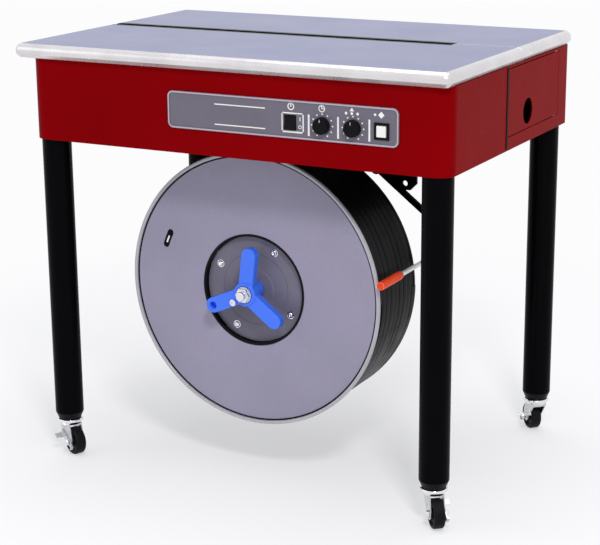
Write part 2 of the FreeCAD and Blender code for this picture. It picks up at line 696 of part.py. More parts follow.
def build_legs():
    """Tube legs up to the base plate, with a castor socket and its swivel stem in each foot."""
    legs, sockets = [], []
    for right, back, _, _ in CORNERS.values():
        x, y = leg_centre(right, back)
        legs.append(tube("Z", (x, y, n.leg_foot), cabinet_foot - n.leg_foot, n.leg_radius,
                         n.leg_radius - n.leg_wall))
        stem_foot = n.castor_height - n.stem_length
        sockets.append(turned("Z", (x, y, ZERO), [
            (ZERO, n.leg_foot), (n.leg_radius, n.leg_foot), (n.socket_foot, n.castor_height),
            (n.stem_radius, n.castor_height), (n.stem_radius, stem_foot), (ZERO, stem_foot)]))
    keep("legs", group(legs))
    keep("castor_sockets", group(sockets))


def prism(axis, start, length, radius, flats):
    """A many-sided block, such as a nut or a fluted knob."""
    item = document.addObject("Part::Prism", "Prism")
    item.Polygon = flats
    bind(item, Circumradius=radius, Height=length)
    return place(item, *start, rotation=TURN_TO[axis])


def castor_fork(side):
    """A bent-strip fork about its swivel axis, with the axle through its cheeks."""
    top = n.castor_height - n.fit_gap
    inner = n.fork_inside / 2
    outer = inner + n.fork_cheek
    roof = top - n.fork_roof
    axle_rise, eye, trail = n.wheel_radius, n.fork_eye, n.castor_trail
    toe, heel = n.fork_toe, n.fork_heel
    side_view = padded("XZ_Plane", [
        (-toe, top), (heel, top), (trail + eye, axle_rise + eye), (trail + eye, axle_rise - eye / 2),
        (trail + eye / 2, axle_rise - eye), (trail - eye / 2, axle_rise - eye),
        (trail - eye, axle_rise - eye / 2),
        (-toe, roof - n.fork_skirt)], outer * 2, centre=(ZERO, -outer, ZERO))
    room = box((-toe + n.fork_cheek, -inner, ZERO), (n.wheel_radius * 2, inner, roof))
    hole = rod("Z", (ZERO, ZERO, roof - n.overrun), n.fork_roof + n.overrun * 2,
               n.stem_radius + n.running_gap)
    fork = cut(side_view, room, hole)
    lever_room = n.lever_gap * 2 + n.lever_thickness
    low = -(outer + lever_room) if side < 0 else -outer
    high = outer + lever_room if side > 0 else outer
    return fuse(fork, rod("Y", (trail, low - n.axle_end, axle_rise), high - low + n.axle_end * 2,
                          n.axle_radius))


def castor_wheel():
    """A wheel about the origin, bored for its axle."""
    return tube("Y", (ZERO, -n.wheel_width / 2, ZERO), n.wheel_width, n.wheel_radius,
                n.axle_radius + n.running_gap)


def brake_lever(side):
    """A two-ended brake lever on the axle's end: a long arm with a foot tab, a short one with a pad."""
    near = n.fork_inside / 2 + n.fork_cheek + n.lever_gap
    half = n.lever_width / 2

    def block(left, right, foot, top, depth):
        low, high = (near, near + depth) if side > 0 else (-near - depth, -near)
        return box((left, low, foot), (right, high, top))

    arm = block(-n.lever_heel, n.lever_reach, -half, half, n.lever_thickness)
    tab = block(n.lever_reach - n.lever_width, n.lever_reach, half - n.lever_thickness, half, n.lever_tab)
    pad = block(-n.lever_heel, n.lever_thickness - n.lever_heel, -half, half, n.lever_pad)
    bore = rod("Y", (ZERO, -n.fork_inside, ZERO), n.fork_inside * 2, n.axle_radius + n.running_gap)
    return cut(fuse(arm, tab, pad), bore)


def build_castors():
    """One swivel castor under each leg, turned as it stands."""
    for name, (right, back, heading, side) in CORNERS.items():
        x, y = leg_centre(right, back)
        swivel = FreeCAD.Rotation(FreeCAD.Vector(0, 0, 1), heading)
        keep(f"castor_fork_{name}", place(castor_fork(side), x, y, ZERO, swivel))
        across = math.cos(math.radians(heading))
        along = math.sin(math.radians(heading))
        axle = (x + n.castor_trail * across, y + n.castor_trail * along, n.wheel_radius)
        keep(f"castor_wheel_{name}", place(group([castor_wheel()]), *axle, rotation=swivel))
        tilt = FreeCAD.Rotation(FreeCAD.Vector(0, 1, 0), -LEVER_TILT)
        keep(f"castor_brake_{name}", place(brake_lever(side), *axle, rotation=swivel.multiply(tilt)))


def helix_point(radius, pitch, turn):
    return FreeCAD.Vector(radius * math.cos(turn), pitch * turn / math.tau, radius * math.sin(turn))


def helix_heading(radius, pitch, turn):
    heading = FreeCAD.Vector(-radius * math.sin(turn), pitch / math.tau, radius * math.cos(turn))
    return heading.normalize()


def arc_between(start, corner, end):
    """The arc that leaves start towards the corner and reaches end coming from it."""
    middle = (start + end) * 0.5
    half = (end - start).Length / 2
    rise = (corner - middle).Length
    bulge = half * math.tan(math.atan2(rise, half) / 2)
    return Part.Arc(start, middle + (corner - middle) * (bulge / rise), end).toShape()


def biarc(start, leaving, end, arriving):
    """Two arcs that meet smoothly and join two points with the given headings."""
    span = end - start
    headings = leaving + arriving
    a = headings.dot(headings) - 4
    b = -2 * span.dot(headings)
    root = math.sqrt(b * b - 4 * a * span.dot(span))
    reach = min(value for value in ((-b - root) / (2 * a), (-b + root) / (2 * a)) if value > 0)
    first, second = start + leaving * reach, end - arriving * reach
    joint = (first + second) * 0.5
    return [arc_between(start, first, joint), arc_between(joint, second, end)]


def strap_winding(radius, pitch, width, thickness, turns):
    """The outer layer of flat strap as one unbroken band about the Y axis."""
    edges = []
    step = math.tau / BIARCS_PER_TURN
    for index in range(turns * BIARCS_PER_TURN):
        here, there = step * index, step * (index + 1)
        edges += biarc(helix_point(radius, pitch, here), helix_heading(radius, pitch, here),
                       helix_point(radius, pitch, there), helix_heading(radius, pitch, there))
    start = helix_point(radius, pitch, 0)
    side = FreeCAD.Vector(0, width / 2, 0)
    out = FreeCAD.Vector(thickness, 0, 0)
    corners = [start - side, start + side, start + side + out, start - side + out]
    sweep = Part.BRepOffsetAPI.MakePipeShell(Part.Wire(edges))
    sweep.setBiNormalMode(FreeCAD.Vector(0, 1, 0))
    sweep.add(Part.makePolygon(corners + corners[:1]))
    sweep.build()
    sweep.makeSolid()
    return sweep.shape()


def least_gap(radius, pitch, width, turns):
    """The least gap between one turn's edge and the next one's, measured on points along the band."""
    samples = GAP_SAMPLE_COUNT
    least = float("inf")
    for index in range(samples * (turns - 1)):
        turn = math.tau * index / samples
        upper = helix_point(radius, pitch, turn) + FreeCAD.Vector(0, width / 2, 0)
        for nearby in (-1, 0, 1):
            other = helix_point(radius, pitch, turn + math.tau + math.tau * nearby / samples)
            least = min(least, (other - FreeCAD.Vector(0, width / 2, 0) - upper).Length)
    return least


def shape_feature(shape):
    item = document.addObject("Part::Feature", "Formed")
    item.Shape = shape
    return item


def build_reel():
    """The strap reel: two flanges, spacer bars, hub plate and the coil of strap, all turning on one shaft."""
    x, z = n.reel_across, reel_rise
    bore = n.shaft_radius + n.running_gap
    sheet_wall, rim, edge = n.flange_sheet, flange_radius, flange_edge
    coil_front = n.reel_front + sheet_wall
    back = coil_front + n.spacer_length
    front = turned("Y", (x, n.reel_front, z), [
        (n.flange_bore, ZERO), (rim, ZERO), (rim, -n.rim_turn), (edge, -n.rim_turn), (edge, sheet_wall),
        (n.flange_bore, sheet_wall)])
    keep("reel_front_flange", cut(front, kidney_slot()))
    keep("reel_rear_flange", tube("Y", (x, back, z), sheet_wall, rim, bore))
    plate_front = coil_front + n.hub_recess
    plate_back = plate_front + n.hub_plate_thickness
    keep("hub_plate", tube("Y", (x, plate_front, z), n.hub_plate_thickness, n.hub_plate_radius, bore))

    spacers = []
    half = n.spacer_width / 2
    outer = n.spacer_radius
    for step in range(SPACER_COUNT):
        bar = fuse(box((outer - n.spacer_thickness, ZERO, -half), (outer, n.spacer_length, half)),
                   box((outer - n.spacer_foot, plate_back - coil_front, -half),
                       (outer, plate_back - coil_front + n.spacer_thickness, half)))
        turn = FreeCAD.Rotation(FreeCAD.Vector(0, 1, 0), -HUB_SCREW_ANGLE - FULL_TURN / SPACER_COUNT * step)
        spacers.append(place(group([bar]), x, coil_front, z, turn))
    keep("reel_spacers", group(spacers))

    clear = n.fit_gap
    coil_length = n.spacer_length - clear * 2
    keep("strap_core", tube("Y", (x, coil_front + clear, z), coil_length, coil_radius, n.coil_bore))
    band = strap_winding(coil_radius.value + n.strap_lift.value, n.strap_pitch.value, n.strap_width.value,
                         n.strap_thickness.value, STRAP_TURN_COUNT)
    first_turn = coil_front + clear + n.strap_pitch - n.strap_width / 2
    keep("strap_winding", place(shape_feature(band), x, first_turn, z))
    gap = least_gap(coil_radius.value, n.strap_pitch.value, n.strap_width.value, STRAP_TURN_COUNT)
    print(f"strap winding: {STRAP_TURN_COUNT} turns, least gap to itself {gap:.2f} mm")
    build_reel_mounting(plate_front, back)
    build_handle(plate_front)


def build_reel_mounting(plate_front, flange_front):
    """The shaft with its lock nut, and the hanger plate that carries it below the cabinet."""
    x, z = n.reel_across, reel_rise
    hanger_front = flange_front + n.hanger_gap
    hanger_back = hanger_front + n.hanger_thickness
    collar = flange_front + n.flange_sheet + n.fit_gap
    nose = n.handle_front - n.shaft_nose
    step = plate_front - n.fit_gap
    shaft = turned("Y", (x, ZERO, z), [
        (ZERO, nose), (n.shaft_thread_radius, nose), (n.shaft_thread_radius, step), (n.shaft_radius, step),
        (n.shaft_radius, collar), (n.shaft_collar_radius, collar), (n.shaft_collar_radius, hanger_front),
        (n.shaft_radius, hanger_front), (n.shaft_radius, hanger_back + n.shaft_head),
        (ZERO, hanger_back + n.shaft_head)])
    nut_front = n.handle_front - n.fit_gap - n.nut_thickness
    nut = prism("Y", (x, nut_front, z), n.nut_thickness, n.nut_radius, NUT_SIDE_COUNT)
    keep("reel_shaft", fuse(shaft, nut))

    half_w = n.hanger_width / 2
    top = cabinet_foot
    solids = [box((x - half_w, hanger_front, z), (x + half_w, hanger_back, top)),
              rod("Y", (x, hanger_front, z), n.hanger_thickness, half_w),
              box((x - half_w, hanger_front, top - n.hanger_thickness),
                  (x + half_w, hanger_front + n.hanger_flange, top))]
    for left in (x - half_w, x + half_w - n.hanger_thickness):
        rib = padded("XZ_Plane", [(ZERO, ZERO), (n.hanger_rib, ZERO), (ZERO, -n.hanger_rib_drop)],
                     n.hanger_thickness,
                     FreeCAD.Rotation(FreeCAD.Vector(0, 0, 1), 90),
                     (left + n.hanger_thickness, hanger_back, top - n.hanger_thickness))
        solids.append(rib)
    hole = rod("Y", (x, hanger_front - n.overrun, z), n.hanger_thickness + n.overrun * 2,
               n.shaft_radius + n.running_gap)
    keep("reel_hanger", cut(fuse(*solids), hole))


def kidney_slot():
    """The curved slot in the front flange that takes the free end of the strap."""
    radius = flange_radius.value - n.kidney_inset.value
    half_turn = n.kidney_length.value / 2 / radius
    middle = math.radians(KIDNEY_ANGLE)
    half = n.kidney_width.value / 2

    def spot(distance, turn):
        return FreeCAD.Vector(distance * math.cos(turn), 0, distance * math.sin(turn))

    low, high = middle - half_turn, middle + half_turn
    outer, inner = radius + half, radius - half
    along_high = FreeCAD.Vector(-math.sin(high), 0, math.cos(high)) * half
    along_low = FreeCAD.Vector(math.sin(low), 0, -math.cos(low)) * half
    edges = [
        Part.Arc(spot(outer, low), spot(outer, middle), spot(outer, high)).toShape(),
        Part.Arc(spot(outer, high), spot(radius, high) + along_high, spot(inner, high)).toShape(),
        Part.Arc(spot(inner, high), spot(inner, middle), spot(inner, low)).toShape(),
        Part.Arc(spot(inner, low), spot(radius, low) + along_low, spot(outer, low)).toShape(),
    ]
    depth = n.flange_sheet.value + n.overrun.value * 2
    cutter = Part.Face(Part.Wire(edges)).extrude(FreeCAD.Vector(0, depth, 0))
    return place(shape_feature(cutter), n.reel_across, n.reel_front - n.overrun, reel_rise)


def build_handle(plate_front):
    """The three-arm handle that clamps the reel: a hub, round-ended arms and a neck to the hub plate."""
    x, z = n.reel_across, reel_rise
    half = n.handle_arm_width / 2
    reach = n.handle_arm_reach
    arms = []
    for index in range(HANDLE_ARM_COUNT):
        arm = padded("XY_Plane", [(ZERO, -half), (reach, -half), (reach, half), (ZERO, half)],
                     n.handle_arm_depth)
        soften(arm, half - n.rim_flat,
               lambda edge: is_upright(edge) and edge.Vertexes[0].X > reach.value / 2)
        step = FULL_TURN / HANDLE_ARM_COUNT * index
        arms.append(place(arm, rotation=FreeCAD.Rotation(FreeCAD.Vector(0, 0, 1), step)))
    hub_top = n.handle_arm_depth + n.handle_hub_rise
    hub = rod("Z", (ZERO, ZERO, ZERO), hub_top, n.handle_hub_radius)
    neck_length = plate_front - n.fit_gap - (n.handle_front + hub_top)
    neck = rod("Z", (ZERO, ZERO, -neck_length), neck_length + n.handle_hub_rise, n.handle_neck_radius)
    hole = rod("Z", (reach - half, ZERO, n.handle_arm_depth - n.handle_hole_depth), n.handle_arm_depth,
               n.handle_hole_radius)
    bore = rod("Z", (ZERO, ZERO, -neck_length - n.overrun), neck_length + hub_top + n.overrun * 2,
               n.shaft_thread_radius + n.running_gap)
    towards_front = FreeCAD.Rotation(FreeCAD.Vector(1, 0, 0), 90)
    spin = FreeCAD.Rotation(FreeCAD.Vector(0, 0, 1), HANDLE_ARM_ANGLE)
    keep("three_arm_handle", place(cut(fuse(hub, neck, *arms), hole, bore), x, n.handle_front + hub_top, z,
                                   towards_front.multiply(spin)))


def arm_path():
    """The brake arm's centre line: a tail, a long slope, a bend and a short run to the cross rod."""
    spots = ((n.arm_pivot_across, arm_pivot_rise), beside_reel(n.arm_elbow_gap, ARM_ELBOW_ANGLE),
             beside_reel(n.sleeve_gap, ARM_END_ANGLE))
    pivot, elbow, end = (FreeCAD.Vector(x.value, n.arm_plane.value, z.value) for x, z in spots)
    down = (elbow - pivot).normalize()
    away = (end - elbow).normalize()
    tail = pivot - down * n.arm_tail.value
    half_turn = math.acos(max(-1.0, min(1.0, down.dot(away)))) / 2
    trim = n.arm_bend.value * math.tan(half_turn)
    bend_in, bend_out = elbow - down * trim, elbow + away * trim
    inward = (away - down).normalize()
    middle = elbow + inward * (n.arm_bend.value / math.cos(half_turn) - n.arm_bend.value)
    edges = [Part.LineSegment(tail, bend_in).toShape(), Part.Arc(bend_in, middle, bend_out).toShape(),
             Part.LineSegment(bend_out, end).toShape()]
    return Part.Wire(edges), tail, down


def build_brake_arm():
    """The bent brake arm on its bracket, with the cross rod and sleeve that ride on the strap."""
    plane, thick = n.arm_plane, n.arm_thickness
    near = plane - thick / 2
    path, tail, down = arm_path()
    side = FreeCAD.Vector(-down.z, 0, down.x) * (n.arm_width.value / 2)
    deep = FreeCAD.Vector(0, thick.value / 2, 0)
    section = Part.makePolygon([tail + side + deep, tail - side + deep, tail - side - deep,
                                tail + side - deep,
                                tail + side + deep])
    bar = shape_feature(path.makePipeShell([section], True, False))
    pivot_x, pivot_z = n.arm_pivot_across, arm_pivot_rise
    end_x, end_z = beside_reel(n.sleeve_gap, ARM_END_ANGLE)
    eye = rod("Y", (pivot_x, near, pivot_z), thick, n.arm_eye_radius)
    end_eye = rod("Y", (end_x, near, end_z), thick, n.arm_end_eye_radius)
    bores = [rod("Y", (pivot_x, near - n.overrun, pivot_z), thick + n.overrun * 2,
                 n.arm_pin_radius + n.running_gap),
             rod("Y", (end_x, near - n.overrun, end_z), thick + n.overrun * 2,
                 n.cross_rod_radius + n.running_gap)]
    keep("brake_arm", cut(fuse(bar, eye, end_eye), *bores))

    cap_back = n.sleeve_front - n.fit_gap
    cap_front = cap_back - n.rod_cap_length
    keep("cross_rod", fuse(rod("Y", (end_x, cap_front, end_z), near + thick - cap_front,
                               n.cross_rod_radius),
                           rod("Y", (end_x, cap_front, end_z), n.rod_cap_length, n.rod_cap_radius)))
    keep("arm_sleeve", tube("Y", (end_x, n.sleeve_front, end_z), n.sleeve_length, n.sleeve_radius,
                            n.cross_rod_radius + n.running_gap))

    plate_front = near + thick + n.fit_gap
    plate_back = plate_front + n.bracket_thickness
    left, right = n.bracket_left, n.bracket_left + n.bracket_width
    top, foot = cabinet_foot, cabinet_foot - n.bracket_drop
    slope = n.bracket_width / 2
    plate = padded("XZ_Plane", [
        (left, top), (left, pivot_z - n.arm_eye_radius), (right - slope, foot),
        (right - n.bracket_cut, foot),
        (right, foot + n.bracket_cut), (right, top)], n.bracket_thickness, centre=(ZERO, plate_front, ZERO))
    flange = box((left, plate_front, top - n.bracket_thickness),
                 (right, plate_back + n.bracket_flange, top))
    hole = rod("Y", (n.bracket_hole_across, plate_front - n.overrun, top - n.bracket_hole_drop),
               n.bracket_thickness + n.overrun * 2, n.bracket_hole_radius)
    pin_front = near - n.fit_gap
    pin = rod("Y", (pivot_x, pin_front - n.rod_cap_length, pivot_z),
              plate_back - pin_front + n.rod_cap_length, n.arm_pin_radius)
    pin_head = prism("Y", (pivot_x, pin_front - n.rod_cap_length, pivot_z), n.rod_cap_length,
                     n.arm_end_eye_radius, NUT_SIDE_COUNT)
    beside = n.arm_width.value / 2 + n.stop_pin_radius.value + n.fit_gap.value
    inset = n.stop_pin_radius.value
    spot = FreeCAD.Vector(tail.x - down.z * beside + down.x * inset, near.value,
                          tail.z + down.x * beside + down.z * inset)
    stop = shape_feature(Part.makeCylinder(inset, plate_back.value - near.value, spot,
                                           FreeCAD.Vector(0, 1, 0)))
    keep("arm_bracket", fuse(cut(plate, hole), flange, pin, pin_head, stop))


def is_across(edge):
    return abs(edge.tangentAt(edge.FirstParameter).y) > 0.9


def build_strapping_head():
    """The head under the slot: its casting, three rising blocks, the anvil on its guide and the camshaft."""
    half = n.head_length / 2
    foot_half = n.head_foot_length / 2
    middle = n.slot_centre
    head_back = n.head_front + n.head_depth
    block = box((-half, n.head_front, base_top), (half, head_back, head_top))
    foot = box((-foot_half, n.head_foot_front, base_top),
               (foot_half, n.head_foot_front + n.head_foot_depth, base_top + n.head_foot_thickness))
    guide_half = n.guide_length / 2
    anvil_top = n.table_height - n.anvil_drop
    guide_top = anvil_top - n.anvil_thickness - n.fit_gap
    guide_back = n.guide_front + n.guide_depth
    guide = box((-guide_half, n.guide_front, n.table_height - n.guide_root_drop),
                (guide_half, guide_back, guide_top))
    tongue_half = n.anvil_tongue / 2
    groove = box((-tongue_half - n.fit_gap, n.guide_front - n.overrun,
                  guide_top - n.anvil_tongue_depth - n.fit_gap),
                 (tongue_half + n.fit_gap, guide_back + n.overrun, guide_top + n.overrun))
    slide_w, slide_d, clear = n.slider_width / 2, n.slider_depth / 2, n.slider_gap
    pockets = []
    slider_floor = n.table_height - n.slider_floor_drop
    for name, step, drop in (("left_gripper", -1, n.slider_drop), ("press_block", 0, n.press_drop),
                             ("right_gripper", 1, n.slider_drop)):
        centre = n.slider_spacing * step
        pockets.append(box((centre - slide_w - clear, middle - slide_d - clear, slider_floor),
                           (centre + slide_w + clear, middle + slide_d + clear, head_top + n.overrun)))
        keep(name, box((centre - slide_w, middle - slide_d, slider_floor + n.fit_gap),
                       (centre + slide_w, middle + slide_d, n.table_height - drop)))
    bore = rod("X", (-half - n.overrun, middle, camshaft_rise), n.head_length + n.overrun * 2,
               n.camshaft_radius + n.running_gap)
    keep("head_casting", cut(fuse(block, foot, guide), groove, bore, *pockets))

    anvil_foot = anvil_top - n.anvil_thickness
    anvil_back = n.anvil_front + n.anvil_depth
    plate = box((-n.anvil_length / 2, n.anvil_front, anvil_foot),
                (n.anvil_length / 2, anvil_back, anvil_top))
    tongue = box((-tongue_half, n.guide_front, anvil_foot - n.anvil_tongue_depth),
                 (tongue_half, anvil_back, anvil_foot))
    keep("anvil_slide", fuse(plate, tongue))

    shaft_left = n.gearbox_left + n.gearbox_wall
    shaft = rod("X", (shaft_left, middle, camshaft_rise), n.camshaft_reach - shaft_left, n.camshaft_radius)
    cam = rod("X", (half + n.fit_gap, middle, camshaft_rise), n.cam_width, n.cam_radius)
    flat_foot = camshaft_rise + n.camshaft_radius + n.fit_gap
    flat = box((half, middle - n.cam_radius, flat_foot),
               (half + n.cam_width + n.fit_gap * 2, middle + n.cam_radius, flat_foot + n.cam_radius))
    keep("camshaft", cut(fuse(shaft, cam), flat))


def build_drive():
    """The gearbox that turns the camshaft, with the main motor flanged to its front."""
    right = n.gearbox_left + n.gearbox_length
    case = box((n.gearbox_left, n.gearbox_front, base_top),
               (right, n.gearbox_front + n.gearbox_depth, base_top + n.gearbox_height))
    left = n.gearbox_left + n.gearbox_wall - n.fit_gap
    bore = rod("X", (left, n.slot_centre, camshaft_rise), right - left + n.overrun,
               n.camshaft_radius + n.running_gap)
    keep("gearbox", cut(case, bore))
    x = n.gearbox_left + n.gearbox_length / 2
    half = n.motor_foot_width / 2
    front = n.gearbox_front - n.motor_length
    motor_rise = n.table_height - n.motor_drop
    housing = rod("Y", (x, front, motor_rise), n.motor_length, n.motor_radius)
    foot = box((x - half, front + n.motor_foot_inset, base_top),
               (x + half, n.gearbox_front - n.motor_foot_inset, motor_rise))
    keep("main_motor", fuse(housing, foot))


def build_feed_unit():
    """The feed motor on its upright plate, its knurled roller in front of it, and the free roller below."""
    x, z = n.feed_across, n.table_height - n.feed_drop
    plate_back = n.feed_plate_front + n.feed_plate_thickness
    right = n.feed_plate_left + n.feed_plate_length
    roller_front = n.slot_centre - n.feed_roller_width / 2
    pinch_z = z - n.feed_roller_radius - n.pinch_radius - n.pinch_gap
    plate_top = n.table_height - n.feed_plate_drop
    plate = box((n.feed_plate_left, n.feed_plate_front, base_top), (right, plate_back, plate_top))
    foot = box((n.feed_plate_left, plate_back, base_top), (right, plate_back + n.feed_plate_foot,
                                                           base_top + n.feed_plate_thickness))
    motor = rod("Y", (x, plate_back, z), n.feed_motor_length, n.feed_motor_radius)
    pin = rod("Y", (x, roller_front, pinch_z), plate_back - roller_front, n.pinch_pin_radius)
    shaft_depth = n.feed_motor_length / 4
    bore = rod("Y", (x, n.feed_plate_front - n.overrun, z),
               n.feed_plate_thickness + n.overrun + shaft_depth + n.fit_gap,
               n.feed_shaft_radius + n.running_gap)
    keep("feed_motor", cut(fuse(plate, foot, motor, pin), bore))
    roller = prism("Y", (x, roller_front, z), n.feed_roller_width, n.feed_roller_radius, KNURL_SIDE_COUNT)
    shaft = rod("Y", (x, roller_front, z), plate_back + shaft_depth - roller_front, n.feed_shaft_radius)
    keep("feed_roller", fuse(roller, shaft))
    keep("pinch_roller", tube("Y", (x, roller_front, pinch_z), n.feed_roller_width, n.pinch_radius,
                              n.pinch_pin_radius + n.running_gap))


def build_transformer():
    """The control transformer: a laminated core with its winding standing out at the front and back."""
    left, front = inner_left + n.core_inset, n.core_front
    right, back = left + n.core_length, front + n.core_depth
    inset = (n.core_length - n.coil_height) / 2
    low = base_top + (n.core_height - n.coil_height) / 2
    core = box((left, front, base_top), (right, back, base_top + n.core_height))
    coil = box((left + inset, front - n.coil_swell, low),
               (right - inset, back + n.coil_swell, low + n.coil_height))
    keep("transformer", fuse(core, coil))


def check_and_write():
    """Stops at the first failed feature or bad solid, then writes one file for each piece."""
    document.recompute()
    for item in document.Objects:
        if "Invalid" in item.State or "Error" in item.State:
            raise SystemExit(f"{item.Label} ({item.Name}) failed: {item.State}")
    for name, item in parts.items():
        shape = item.Shape
        if shape.isNull() or not shape.isValid() or not shape.Solids:
            raise SystemExit(f"{name} has no valid solid")
    os.makedirs("parts", exist_ok=True)
    for name, item in parts.items():
        item.Shape.exportStep(f"parts/{name}.step")
    print(f"{len(parts)} pieces written")


build_table()
build_cabinet()
build_side_door()
build_controls()
build_power_inlet()
build_legs()
build_castors()
build_reel()
build_brake_arm()
build_strapping_head()
build_drive()
build_feed_unit()
build_transformer()
check_and_write()
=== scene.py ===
"""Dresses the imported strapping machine: finishes, softened edges, small hardware, camera and studio."""

from __future__ import annotations

import json
import logging
import math
from collections.abc import Callable, Iterable, Sequence
from dataclasses import dataclass, field
from enum import Enum
from typing import ClassVar

import bmesh
import bpy
from mathutils import Matrix, Quaternion, Vector

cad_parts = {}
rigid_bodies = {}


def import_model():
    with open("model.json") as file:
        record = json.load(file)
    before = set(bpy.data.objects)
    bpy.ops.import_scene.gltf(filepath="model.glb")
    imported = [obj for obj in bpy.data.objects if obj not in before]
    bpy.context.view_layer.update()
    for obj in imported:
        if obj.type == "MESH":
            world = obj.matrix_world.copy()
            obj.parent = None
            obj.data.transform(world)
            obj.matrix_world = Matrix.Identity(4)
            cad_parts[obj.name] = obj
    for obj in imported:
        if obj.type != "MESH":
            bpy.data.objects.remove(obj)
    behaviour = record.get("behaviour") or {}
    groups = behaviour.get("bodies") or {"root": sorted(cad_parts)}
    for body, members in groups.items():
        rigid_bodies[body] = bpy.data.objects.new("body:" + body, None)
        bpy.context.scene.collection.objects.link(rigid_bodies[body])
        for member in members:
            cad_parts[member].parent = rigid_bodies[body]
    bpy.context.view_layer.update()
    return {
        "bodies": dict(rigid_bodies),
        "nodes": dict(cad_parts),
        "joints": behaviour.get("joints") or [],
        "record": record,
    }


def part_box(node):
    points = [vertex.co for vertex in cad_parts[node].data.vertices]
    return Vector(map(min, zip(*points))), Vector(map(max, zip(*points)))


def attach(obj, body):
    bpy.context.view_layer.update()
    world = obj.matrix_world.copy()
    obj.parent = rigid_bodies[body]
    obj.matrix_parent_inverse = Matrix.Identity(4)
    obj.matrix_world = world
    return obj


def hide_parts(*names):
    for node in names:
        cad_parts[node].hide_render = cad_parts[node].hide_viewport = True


LOG = logging.getLogger("strapping_machine")
MM = 0.001
# Within these reaches, in millimetres, points are joined.
WELD = 0.002
FINE_WELD = 0.0005
# Faces that fold less than this are joined up, or else are shaded as one curve.
FLAT_FOLD = math.radians(0.6)
SMOOTH_FOLD = math.radians(38.0)

Colour = tuple[float, float, float]
Spot = tuple[float, float, float]
Flat = tuple[float, float]
Corner = tuple[float, float, float]
Bar = tuple[float, float, float, float]
Ring = tuple[float, float, float, float]
Socket = bpy.types.NodeSocket
FaceTest = Callable[[Vector, Vector], bool]


class Axis(Enum):
    """The direction in which a turned or cut-out shape runs."""

    X = 0
    Y = 1
    Z = 2

    def spot(self, centre: Spot, across: float, up: float, along: float) -> Vector:
        """Gives the place of a point.

        Args:
            centre: The shape's own origin.
            across: Distance along the first direction square to the axis.
            up: Distance along the second direction square to the axis.
            along: Distance along the axis.

        Returns:
            The point in millimetres.
        """
        steps = [across, up]
        steps.insert(self.value, along)
        return Vector([start + step for start, step in zip(centre, steps)])


class Grain(Enum):
    """The fine relief of a surface."""

    PEEL = "orange peel of a baked coat"
    BRUSHED = "long brush lines"
    SATIN = "fine moulded texture"
    CAST = "sand-cast skin"
    LAMINATED = "stacked sheets"
    EMBOSSED = "rolled diamonds on strap"
    GROUND = "short grinding marks"


@dataclass(frozen=True)
class NodeSheet:
    """Lays out the nodes of one material or of the world."""

    tree: bpy.types.NodeTree

    @staticmethod
    def clear(owner: bpy.types.Material | bpy.types.World) -> NodeSheet:
        """Starts an empty sheet.

        Args:
            owner: The material or world whose nodes are laid out.

        Returns:
            The sheet, with no nodes on it.
        """
        owner.use_nodes = True
        owner.node_tree.nodes.clear()
        return NodeSheet(owner.node_tree)

    def add(self, kind: str, sockets: dict[str | int, object] | None = None,
            **settings: object) -> bpy.types.Node:
        """Adds a node and fills in its sockets.

        Args:
            kind: The node's type, without its common prefix.
            sockets: Values or output sockets by input name or number.
            **settings: Properties of the node itself.

        Returns:
            The new node.
        """
        node = self.tree.nodes.new(f"ShaderNode{kind}")
        for name, value in settings.items():
            setattr(node, name, value)
        for name, value in (sockets or {}).items():
            if isinstance(value, Socket):
                self.tree.links.new(value, node.inputs[name])
            else:
                node.inputs[name].default_value = value
        return node

    def blend(self, share: Socket, first: object, second: object) -> Socket:
        """Mixes two colours by a share and gives the mixed colour."""
        return self.add("Mix", {0: share, 6: first, 7: second}, data_type="RGBA").outputs[2]

    def combine(self, operation: str, first: Socket, second: Socket) -> Socket:
        """Gives the result of an operation on two values."""
        return self.add("Math", {0: first, 1: second}, operation=operation).outputs[0]

    def noise(self, place: Socket, scale: float, detail: float, roughness: float = 0.5) -> Socket:
        """Gives a cloudy value that changes from place to place."""
        sockets = {"Vector": place, "Scale": scale, "Detail": detail, "Roughness": roughness}
        return self.add("TexNoise", sockets).outputs["Fac"]

    def spread(self, value: Socket, source: Flat, target: Flat = (0.0, 1.0)) -> Socket:
        """Carries a value from one range to another, clamped."""
        sockets = {"Value": value, "From Min": source[0], "From Max": source[1], "To Min": target[0],
                   "To Max": target[1]}
        return self.add("MapRange", sockets).outputs["Result"]


